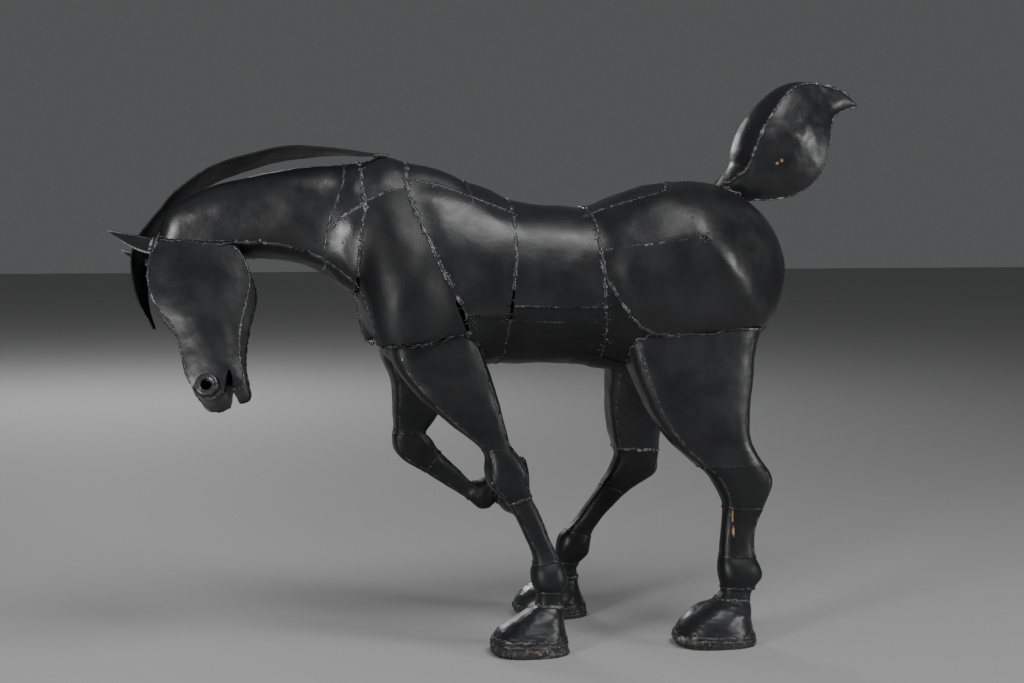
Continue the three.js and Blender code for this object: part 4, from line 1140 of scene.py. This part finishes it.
def add_belly_flap(tree):
    """A loose lap of sheet under the rear of the belly, sprung down at its rear edge."""
    grid = []
    for x in np.linspace(*FLAP["x"], 24):
        row = []
        for y in np.linspace(*FLAP["y"], 30):
            where = tree.ray_cast(Vector((x, y, 300)), Vector((0, 0, 1)))[0]
            sprung = smoothstep(x, FLAP["x"][0], FLAP["sprung_by"]) * (1 - 0.6 * ((y + 25) / 60) ** 2)
            row.append([x + 4 * math.sin(y / 17), y, where.z - FLAP["gap"] - FLAP["drop"] * sprung])
        grid.append(row)
    # the lap under the belly gets the darker paint as painted shade
    finish_piece(sheet("belly_lap", grid, FLAP["thickness"], [130, 0, 700]), DULL_PAINT_WITH_PAINTED_SHADE)


# ---- Strips and edges ----

STRIP_COLUMNS = 25


def bent_strip(flat, half, shift, bow=0.0):
    """A strip along a side-view line, bowed out and dented between its long edges, as a grid."""
    across = np.linspace(-1, 1, STRIP_COLUMNS)[None]
    travel = unit(np.gradient(flat, axis=0))[:, None]
    grid = np.stack(np.broadcast_arrays(flat[:, :1], across * half[:, None], flat[:, 1:]), axis=-1)

    def push(distance):
        grid[..., 0] -= travel[..., 1] * distance
        grid[..., 2] += travel[..., 0] * distance

    push(bow * (1 - across ** 2))
    push(dents(grid + shift, depth=0.7, scale=0.6) * (1 - across ** 2))
    return grid


def out_of_edge(points, inside):
    """Directions out of an outline that runs in side view."""
    directions = unit(np.cross(unit(np.gradient(points, axis=0)), [0, 1, 0]))
    return directions * np.sign(np.sum(directions * (points - inside), axis=-1, keepdims=True))


# ---- The head ----

HEAD_ROWS, HEAD_COLUMNS = 97, 49
NOSTRIL_HOLE = 8.5
EDGE_BEADS = [("face", FACE_EDGE, 5.4), ("jaw", JAW_EDGE, 6.4)]  # name, path and width
EDGE_BEAD_RISE = 0.27  # height of these beads over their width


def head_basis():
    right = rightward(HEAD_TILT)
    forward = np.array([-1.0, 0, 0])
    forward = unit(forward - right * np.dot(forward, right))
    return np.stack([forward, right, np.cross(forward, right)])


HEAD_BASIS = head_basis()


def in_head(points):
    """Points of the head's own frame (forward, right, down) in the figure's."""
    return np.asarray(points, float) @ HEAD_BASIS + np.array(HEAD_CENTRE)


def into_head(piece):
    """Moves a mesh that was drawn in the head's own frame."""
    for vertex, at in zip(piece.data.vertices, place(in_head(placed_back(piece)))):
        vertex.co = at
    return piece


def head_bead(name, points, lean, width, height, **looks):
    """A bead drawn in the head's own frame, leaning one way all along or a way for each point."""
    leans = np.broadcast_to(np.asarray(lean, float), (len(points), 3))
    return bead(name, in_head(points), leans @ HEAD_BASIS, width, height, **looks)


def head_edge(z):
    return HEAD_EDGE + (MUZZLE_EDGE - HEAD_EDGE) * smoothstep(z, 0, MUZZLE_DOWN)


def add_cheek(side, sign, middle):
    last = len(FACE_EDGE) - 1
    u, v = np.linspace(0, last, HEAD_ROWS), np.linspace(0, 1, HEAD_COLUMNS)[None]
    face, jaw = along(FACE_EDGE, u)[:, None], along(JAW_EDGE, u)[:, None]
    flat = face + (jaw - face) * v[..., None]
    dome = CHEEK_DOME * arch(v) * np.sin(np.pi * (u + 1.5) / (last + 1.5))[:, None]
    local = np.stack([flat[..., 0], sign * (head_edge(flat[..., 1]) + dome), flat[..., 1]], axis=-1)
    dented = dents(local + 40 * sign, depth=0.7, scale=0.8) - 0.6
    local[..., 1] += sign * smoothstep(arch(v), 0, 0.5) * dented
    cheek = sheet("painted_cheek_" + side, in_head(local), SHEET, middle)
    slit = along(MOUTH_SLIT, np.linspace(0, len(MOUTH_SLIT) - 1, 41))
    hole = [[NOSTRIL["forward"] + NOSTRIL_HOLE * math.cos(a), NOSTRIL["down"] + NOSTRIL_HOLE * math.sin(a)]
            for a in np.linspace(0, 2 * math.pi, 24, endpoint=False)]
    cutters = [facing_out(into_head(extruded(outline, *sorted((sign * 10, sign * 120)))))
               for outline in (slit, hole)]
    cut(cheek, cutters)
    discard(cutters)
    finish_piece(cheek, PAINT, "cheek_plate_" + side)
    for k, (name, path, width) in enumerate(EDGE_BEADS):
        flat = along(path, np.linspace(0, len(path) - 1, 160))
        points = np.stack([flat[:, 0], sign * head_edge(flat[:, 1]), flat[:, 1]], axis=-1)
        head_bead(f"weld_{name}_{side}", points, unit(out_of_edge(points, [0, 0, 10]) + [0, sign, 0]),
                  width, EDGE_BEAD_RISE * width, seed=50 + 3 * k + sign, pits=0.42)


def add_head():
    middle = in_head([[0, 0, 0]])[0]
    for side, sign in SIDES:
        add_cheek(side, sign, middle)
        add_nostril(side, sign)
        add_ear(side, sign)
    for name, path in (("face_strip", FACE_EDGE + UPPER_LIP), ("jaw_strip", JAW_EDGE + LOWER_LIP)):
        flat = along(path, np.linspace(0.05, len(path) - 1, 120))
        grid = bent_strip(flat, head_edge(flat[:, 1]) - SHEET - CLEAR, shift=90)
        finish_piece(sheet("painted_" + name, in_head(grid), SHEET, middle), PAINT, name)
    t = np.linspace(0, 1, 60)[:, None]
    poll = np.array(FACE_EDGE[0]) * (1 - t) + np.array(JAW_EDGE[0]) * t
    poll[:, 1] -= 2 + 2.5 * np.sin(7 * t[:, 0]) * t[:, 0]
    for side, sign in SIDES:
        edge = np.stack([poll[:, 0], np.full(len(poll), sign * (HEAD_EDGE + 0.5)), poll[:, 1]], axis=-1)
        head_bead(f"weld_poll_{side}", edge, [0, sign, -0.45], width=9, height=2.6, seed=61, pits=0.6,
                  material=PAINT)
        head_bead(f"weld_poll_upper_{side}", edge + [0, 0.6 * sign, -5], [0, sign, -0.3], width=3,
                  height=0.9, seed=62, pits=0.5)
    bar = into_head(block(MANE_BAR["low"], MANE_BAR["high"]))
    bevel = bar.modifiers.new("bevel", "BEVEL")
    bevel.width, bevel.segments = 0.0025, 3
    cut(bar, [])
    finish_piece(facing_out(bar), PAINT, "mane_bar")


def add_nostril(side, sign):
    """A washer welded on over a hole."""
    outer, inner, thick = NOSTRIL["outer"], NOSTRIL["inner"], NOSTRIL["thickness"]
    bevel, turns = 0.9, 56
    profile = np.array([[inner, bevel], [inner + bevel, 0], [outer - bevel, 0], [outer, bevel],
                        [outer, thick - bevel], [outer - bevel, thick], [inner + bevel, thick],
                        [inner, thick - bevel]])
    away = sign * (head_edge(NOSTRIL["down"]) + NOSTRIL["proud"])

    def circling(angle, reach, aside):
        return np.stack([NOSTRIL["forward"] + reach * np.cos(angle), aside,
                         NOSTRIL["down"] + reach * np.sin(angle)], axis=-1)

    turn = np.linspace(0, 2 * np.pi, turns, endpoint=False)[:, None]
    local = circling(turn, profile[None, :, 0], away + sign * np.repeat(profile[None, :, 1], turns, 0))
    around = len(profile)
    faces = [[v % (turns * around) for v in f] for f in grid_faces(turns + 1, around, closed=True)]
    ring = facing_out(new_mesh("painted_nostril_" + side, in_head(local), faces))
    finish_piece(ring, WELD, "nostril_ring_" + side, sharp=50)
    turn = np.linspace(0, 2 * np.pi, 90)
    lean = np.stack([0.8 * np.cos(turn), np.full(90, float(sign)), 0.8 * np.sin(turn)], axis=-1)
    head_bead("weld_nostril_" + side, circling(turn, outer - 1, np.full(90, away + 1.5 * sign)), lean,
              width=4, height=1.4, seed=71 + sign, pits=0.2)
    head_bead("weld_nostril_foot_" + side, circling(turn, outer - 1, np.full(90, away - 3.5 * sign)), lean,
              width=7, height=2.4, seed=73 + sign, pits=0.8, material=PAINT)


def add_ear(side, sign):
    """A leaf of sheet folded along its middle, welded on by its root."""
    u, v = np.linspace(0, 0.985, 40)[:, None], np.linspace(-1, 1, STRIP_COLUMNS)[None, :]
    leaf = (1 - u) ** 0.75 * (0.75 + 0.9 * u * (1 - u))
    drop = EAR["depth"] * (np.hypot(v, EAR["fold"]) - EAR["fold"]) * leaf
    x, z, length = EAR["root"][side]
    local = np.stack([x + length * u + EAR["sweep"] * drop * (1 - u),
                      sign * EAR["spacing"] + v * EAR["width"] * leaf, z - EAR["rise"] * u + drop], axis=-1)
    under = in_head([[x + length / 2, sign * EAR["spacing"], 0]])[0]
    finish_piece(sheet("painted_ear_" + side, in_head(local), EAR["thickness"], under), PAINT, "ear_" + side)
    head_bead("weld_ear_" + side, local[1] + [-1.5, 0, 0], [-0.5, sign * 0.4, -0.6], width=6.5, height=2.6,
              seed=81 + sign, pits=0.5)


# ---- Mane and tail ----

TAIL_INSIDE = [510, 0, 880]
TAIL_BEADS = {"front": 7.0, "rear": 4.6}  # widths
TAIL_BEAD_RISE = 0.3


def ragged(length, reach, fine, seed):
    """How far a hand-cut edge strays along its length."""
    return 1.1 * noise_along(length, reach, seed) + 0.5 * noise_along(length, fine, seed + 1)


def add_mane():
    u, v = np.linspace(0, len(MANE) - 1, 200), np.linspace(-1, 1, 17)
    rows = along(MANE, u)
    reach = rows[:, 3][:, None] * v[None] + np.where(v > 0, v, 0)[None] * ragged(u * 42, 30, 9, 5)[:, None]
    reach += np.where(v < 0, v, 0)[None] * ragged(u * 42, 27, 8, 8)[:, None]
    grid = rows[:, None, :3] + rightward(rows[:, 4], rows[:, 5])[:, None] * reach[..., None]
    grid[..., 2] += dents(grid + 300, depth=0.5, scale=0.7)
    # the mane gets the darker paint as painted shade
    finish_piece(sheet("painted_mane", grid, MANE_THICKNESS, [-400, 0, 500]), DULL_PAINT_WITH_PAINTED_SHADE, "mane_strip")
    for side, sign in SIDES:
        row = along(MANE, np.linspace(0.02, 0.75, 30))
        edge = row[:, :3] + rightward(row[:, 4], row[:, 5]) * sign * row[:, 3:4] * 0.9 - [0, 0, 4.5]
        bead("weld_mane_" + side, edge, np.tile([0, sign, -0.2], (30, 1)), width=7, height=3,
             seed=91 + sign, pits=0.5)


def first_outside(tree, points):
    """For each column of a grid, where it leaves the body, going down the rows, and the normal there."""
    found, normals = [], []
    for column in points.transpose(1, 0, 2):
        for k, p in enumerate(column):
            where, normal, _, _ = tree.find_nearest(Vector(p))
            if np.dot(p - np.array(where), np.array(normal)) > 0:
                found.append((p + column[max(k - 1, 0)]) / 2)
                normals.append(np.array(normal))
                break
    return np.array(found), np.array(normals)


def add_tail(tree, body_cutter):
    end = len(TAIL_FRONT) - 1
    u, v = np.linspace(0, end, 100), np.linspace(0, 1, 41)[None]
    front, rear = along(TAIL_FRONT, u)[:, None], along(TAIL_REAR, u)[:, None]
    flat = front + (rear - front) * v[..., None]
    dome = TAIL_DOME * arch(v) * np.sin(np.pi * (u + 1) / (end + 2))[:, None]
    fade = smoothstep(arch(v), 0, 0.5) * smoothstep(end - u, 0, 2)[:, None]
    roots = {}
    for side, sign in SIDES:
        grid = np.stack([flat[..., 0], sign * (flat[..., 2] + dome), flat[..., 1]], axis=-1)
        grid[..., 1] += sign * fade * dents(grid + 500 * sign, depth=1.0, scale=0.6)
        roots[side] = grid[:40]
        plate = cut(sheet("painted_tail_" + side, grid, SHEET, TAIL_INSIDE), [body_cutter])
        finish_piece(plate, PAINT, "tail_plate_" + side)
    for name, rows, bulge in (("front", TAIL_FRONT, TAIL_BULGE["height"]), ("rear", TAIL_REAR, 0)):
        u = np.linspace(0, end - 1.2, 90)
        line = along(rows, u)
        bow = bulge * np.maximum(np.sin(np.pi * u / TAIL_BULGE["rows"]), 0)[:, None]
        grid = bent_strip(line[:, :2], np.maximum(line[:, 2] - SHEET - CLEAR, 1), shift=700, bow=bow)
        strip = cut(sheet(f"painted_tail_{name}", grid, SHEET, TAIL_INSIDE), [body_cutter])
        finish_piece(strip, PAINT, f"tail_{name}_strip")
        line = along(rows, np.linspace(0.3, end - 0.1, 150))
        for side, sign in SIDES:
            points = np.stack([line[:, 0], sign * line[:, 2], line[:, 1]], axis=-1)
            bead(f"weld_tail_{name}_{side}", points, out_of_edge(points, TAIL_INSIDE) + [0, sign, 0],
                 TAIL_BEADS[name], TAIL_BEAD_RISE * TAIL_BEADS[name], seed=101 + sign + len(name), pits=0.3,
                 wander=1.2)
    for side, sign in SIDES:
        points, normals = first_outside(tree, roots[side])
        normals = unit(normals + [0, 0.6 * sign, 0])
        bead("weld_tail_root_" + side, points, normals, width=11, height=4.5, seed=111 + sign, pits=0.45,
             wander=2)
        jitter = rng.normal(size=(len(points), 3)) * 4
        keep = rng.random(len(points)) < 0.6
        blobs("weld_tail_lumps_" + side, (points + jitter)[keep], normals[keep],
              rng.uniform(2, 5, keep.sum()), seed=9)
    hits = [tree.ray_cast(Vector((382, y, 950)), Vector((0, 0, -1))) for y in np.linspace(-26, 26, 30)]
    bead("weld_tail_root_front", [h[0] for h in hits], [np.array(h[1]) * np.sign(h[1][2]) for h in hits],
         width=9, height=3.5, seed=115, pits=0.5)


# ---- Legs ----

LEG_SIDES = 72
LEG_BOXINESS = 2.6  # how much squarer than its table a leg is, and a hoof
HOOF_BOXINESS = 1.6
# Where the rim starts, in places along the hoof.
RIM_TOP = {"front_left": 2.7, "front_right": 3.2, "hind_left": 3.15, "hind_right": 3.0}
RIM_BEADS = [(0, 8, 2.8), (0.45, 6, 1.8)]  # places below the rim's start, width and height
RIM_LUMPS = 90
# Which of the points round a section have welds along them, and how wide those are, from the top down.
CORNERS = [((9, 27, 45, 63), 5.2), ((9, 27, 45, 63), 4.6), ((9, 27), 3.6)]
ANGLES = (np.arange(LEG_SIDES) + 0.5) * 2 * np.pi / LEG_SIDES


def leg_rings(rows, places, boxier=LEG_BOXINESS, angles=ANGLES):
    table = along(rows, places)
    front = np.stack([table[:, 0], table[:, 4], table[:, 1]], axis=-1)[:, None]
    rear = np.stack([table[:, 2], table[:, 4], table[:, 3]], axis=-1)[:, None]
    square = (2 + (table[:, 6] - 2) * boxier)[:, None, None]
    angle = np.broadcast_to(angles[None], (len(places), len(angles)))
    return section(front, rear, np.array([0.0, 1, 0]), table[:, None, 5:6], 0.5, square, square, angle)


def leg_ring(rows, at, boxier=LEG_BOXINESS):
    return leg_rings(rows, np.array([at], float), boxier)[0]


def add_leg(index, leg, tree, body_cutter):
    rows, cuts, name = leg["rows"], leg["cuts"], leg["name"]
    step = along(rows, np.array(cuts) + 0.05) - along(rows, np.array(cuts) - 0.05)
    per_row = 10 * np.hypot((step[:, 0] + step[:, 2]) / 2, (step[:, 1] + step[:, 3]) / 2)
    gap = END_GAP / 2 / per_row
    for i, part in enumerate([leg["upper"], leg["middle"], "cannon", "fetlock", "pastern"]):
        start, end = cuts[i] + (gap[i] if i else 0), cuts[i + 1] - gap[i + 1]
        rings = leg_rings(rows, np.linspace(start, end, max(int(9 * (end - start)), 10)))
        rings += outward(rings) * dents(rings + 37.0 * (index + i), depth=0.6, scale=0.55)[..., None]
        node = f"{name}_{part}"
        piece = loft("painted_" + node, rings)
        if i == 0:
            seam, normals = first_outside(tree, rings)
            if len(seam) > 8:
                closed = [np.vstack([a, a[:1]]) for a in (seam, unit(normals + [0, 0, -0.7]))]
                bead(f"weld_{name}_top", *closed, width=7.5, height=2.6, seed=120 + index, pits=0.45)
            cut(piece, [body_cutter])
        # every leg section but the thigh gets the darker paint as painted shade
        finish_piece(piece, PAINT if part == "thigh" else DULL_PAINT_WITH_PAINTED_SHADE, node)
        if i < len(CORNERS):
            add_corner_welds(node, *CORNERS[i], rings, tree if i == 0 else None, index)
        if i:
            strength = RING_STRENGTH[name][i - 1]
            round_bead(f"weld_{node}_ring", leg_ring(rows, cuts[i]), 4 + 4.5 * strength,
                       0.4 + 2.3 * strength, seed=130 + 7 * index + i, pits=0.3, wander=2,
                       material=WELD if strength > 0.4 else PAINT)
    add_hoof(index, name, leg["hoof"], leg_ring(rows, cuts[-1] - gap[-1]))


def add_corner_welds(node, corners, width, rings, tree, index):
    """Beads along the corners where the side plates of a leg section meet its front and rear strips."""
    normals = outward(rings)
    for corner in corners:
        points, leans = rings[:, corner], normals[:, corner]
        if tree:
            clear = np.array([np.dot(p - np.array(h[0]), np.array(h[1])) for p in points
                              for h in [tree.find_nearest(Vector(p))]]) > 1
            points, leans = points[clear], leans[clear]
        if len(points) >= 6:
            bead(f"weld_{node}_{corner}", points - 0.5 * leans, leans, width, 0.26 * width,
                 seed=160 + 11 * index + corner, pits=0.2, material=DULL_WELD)


def add_hoof(index, name, rows, pastern_end):
    """A hoof: a cone of sheet with a rough bead round its foot, and a bare worn plate for its sole."""
    last, top = len(rows) - 1, RIM_TOP[name]
    places = np.linspace(0, top, 46)
    rings = leg_rings(rows, places, HOOF_BOXINESS)
    low = smoothstep(places, top - 1.6, top - 0.2)[:, None]
    push = dents(rings + 61.0 * index, depth=0.9, scale=0.5) * (1 - 0.5 * low)
    push += low * (0.9 * noise(rings / 6, 4) + 0.5) + 0.5 * noise(rings / 9, 8)
    finish_piece(loft(f"painted_{name}_hoof", rings + outward(rings) * push[..., None]), PAINT,
                 name + "_hoof")
    fine = np.linspace(0, 2 * np.pi, 2 * LEG_SIDES, endpoint=False)
    rings = leg_rings(rows, np.linspace(top - 0.05, last, 26), HOOF_BOXINESS, fine)
    rough = 1.3 * noise(rings / 9, 6) + 0.9 * noise(rings / 3.5, 7)
    rings = rings + unit(rings - rings.mean(axis=1, keepdims=True)) * (rough - 0.6)[..., None]
    if rows[-1][1] == 0:  # the sole of a hoof on the floor is flat
        rings[-1, :, 2] = 0
    finish_piece(loft(name + "_rim", rings), BARE, sharp=50)
    for k, (below, width, height) in enumerate(RIM_BEADS):
        round_bead(f"weld_{name}_rim_{k}", leg_ring(rows, top + below, HOOF_BOXINESS), width, height,
                   seed=190 + 5 * index + k, pits=0.25, wander=2.2)
    chosen = leg_rings(rows, rng.uniform(top - 0.25, last - 0.5, RIM_LUMPS), HOOF_BOXINESS)
    chosen = chosen[np.arange(RIM_LUMPS), rng.integers(0, LEG_SIDES, RIM_LUMPS)]
    blobs(f"weld_{name}_rim_lumps", chosen, unit(chosen - chosen.mean(axis=0)),
          rng.uniform(1.2, 3.6, RIM_LUMPS), seed=index)
    round_bead(f"weld_{name}_coronet", (leg_ring(rows, 0, HOOF_BOXINESS) + pastern_end) / 2, 8.5, 2.6,
               seed=210 + index, pits=0.5)


# ---- Building ----

shape = body_shape()
surface = tree_of(shape)
seams = seam_paths(surface)
add_body_welds(seams, add_body(shape, seams))
add_body_marks(surface)
add_belly_flap(surface)
add_head()
add_mane()
body_cutter = facing_out(new_mesh("cutter", *closed_grid(shape + CLEAR * body_normals(shape))))
add_tail(surface, body_cutter)
for number, leg in enumerate(LEGS):
    add_leg(number, leg, surface, body_cutter)
discard([body_cutter])

# ---- Studio ----


def flat_material(name, colour, roughness):
    material = bpy.data.materials.new(name)
    material.use_nodes = True
    shader = material.node_tree.nodes["Principled BSDF"]
    shader.inputs["Base Color"].default_value = (*colour, 1)
    shader.inputs["Roughness"].default_value = roughness
    return material


floor_mesh = bpy.data.meshes.new("floor")
floor_corners = [(FLOOR_REACH * x, FLOOR_REACH * y, 0) for x, y in ((-1, -1), (1, -1), (1, 1), (-1, 1))]
floor_mesh.from_pydata(floor_corners, [], [(0, 1, 2, 3)])
floor_mesh.materials.append(flat_material("floor_grey", FLOOR_GREY, FLOOR_ROUGHNESS))
add_object("floor", floor_mesh)

world = bpy.data.worlds.new("studio")
world.use_nodes = True
sky = world.node_tree.nodes["Background"]
sky.inputs["Color"].default_value = (*SKY_COLOUR, 1)
sky.inputs["Strength"].default_value = SKY_STRENGTH
bpy.context.scene.world = world

for name, position, width, height, power in SOFT_BOXES:
    data = bpy.data.lights.new(name, "AREA")
    data.shape = "RECTANGLE"
    data.size, data.size_y, data.energy = width, height, power
    light = add_object(name, data)
    light.location = position
    light.rotation_euler = (LIT_POINT - Vector(position)).to_track_quat("-Z", "Y").to_euler()

# The light behind the figure shines every way, so that it leaves no edge on the floor.
data = bpy.data.lights.new("back", "POINT")
data.shadow_soft_size, data.energy = BACK_LIGHT["radius"], BACK_LIGHT["power"]
add_object("back", data).location = BACK_LIGHT["position"]

data = bpy.data.cameras.new("camera")
data.lens, data.sensor_width = CAMERA_LENS, CAMERA_SENSOR
camera = add_object("camera", data)
ahead, aside = math.sin(CAMERA_TURN), math.cos(CAMERA_TURN)
camera.location = place([-CAMERA_AWAY * ahead, -CAMERA_AWAY * aside, CAMERA_HEIGHT])[0]
level, down = math.cos(CAMERA_PITCH), math.sin(CAMERA_PITCH)
camera.rotation_euler = Vector((ahead * level, aside * level, -down)).to_track_quat("-Z", "Y").to_euler()
bpy.context.scene.camera = camera
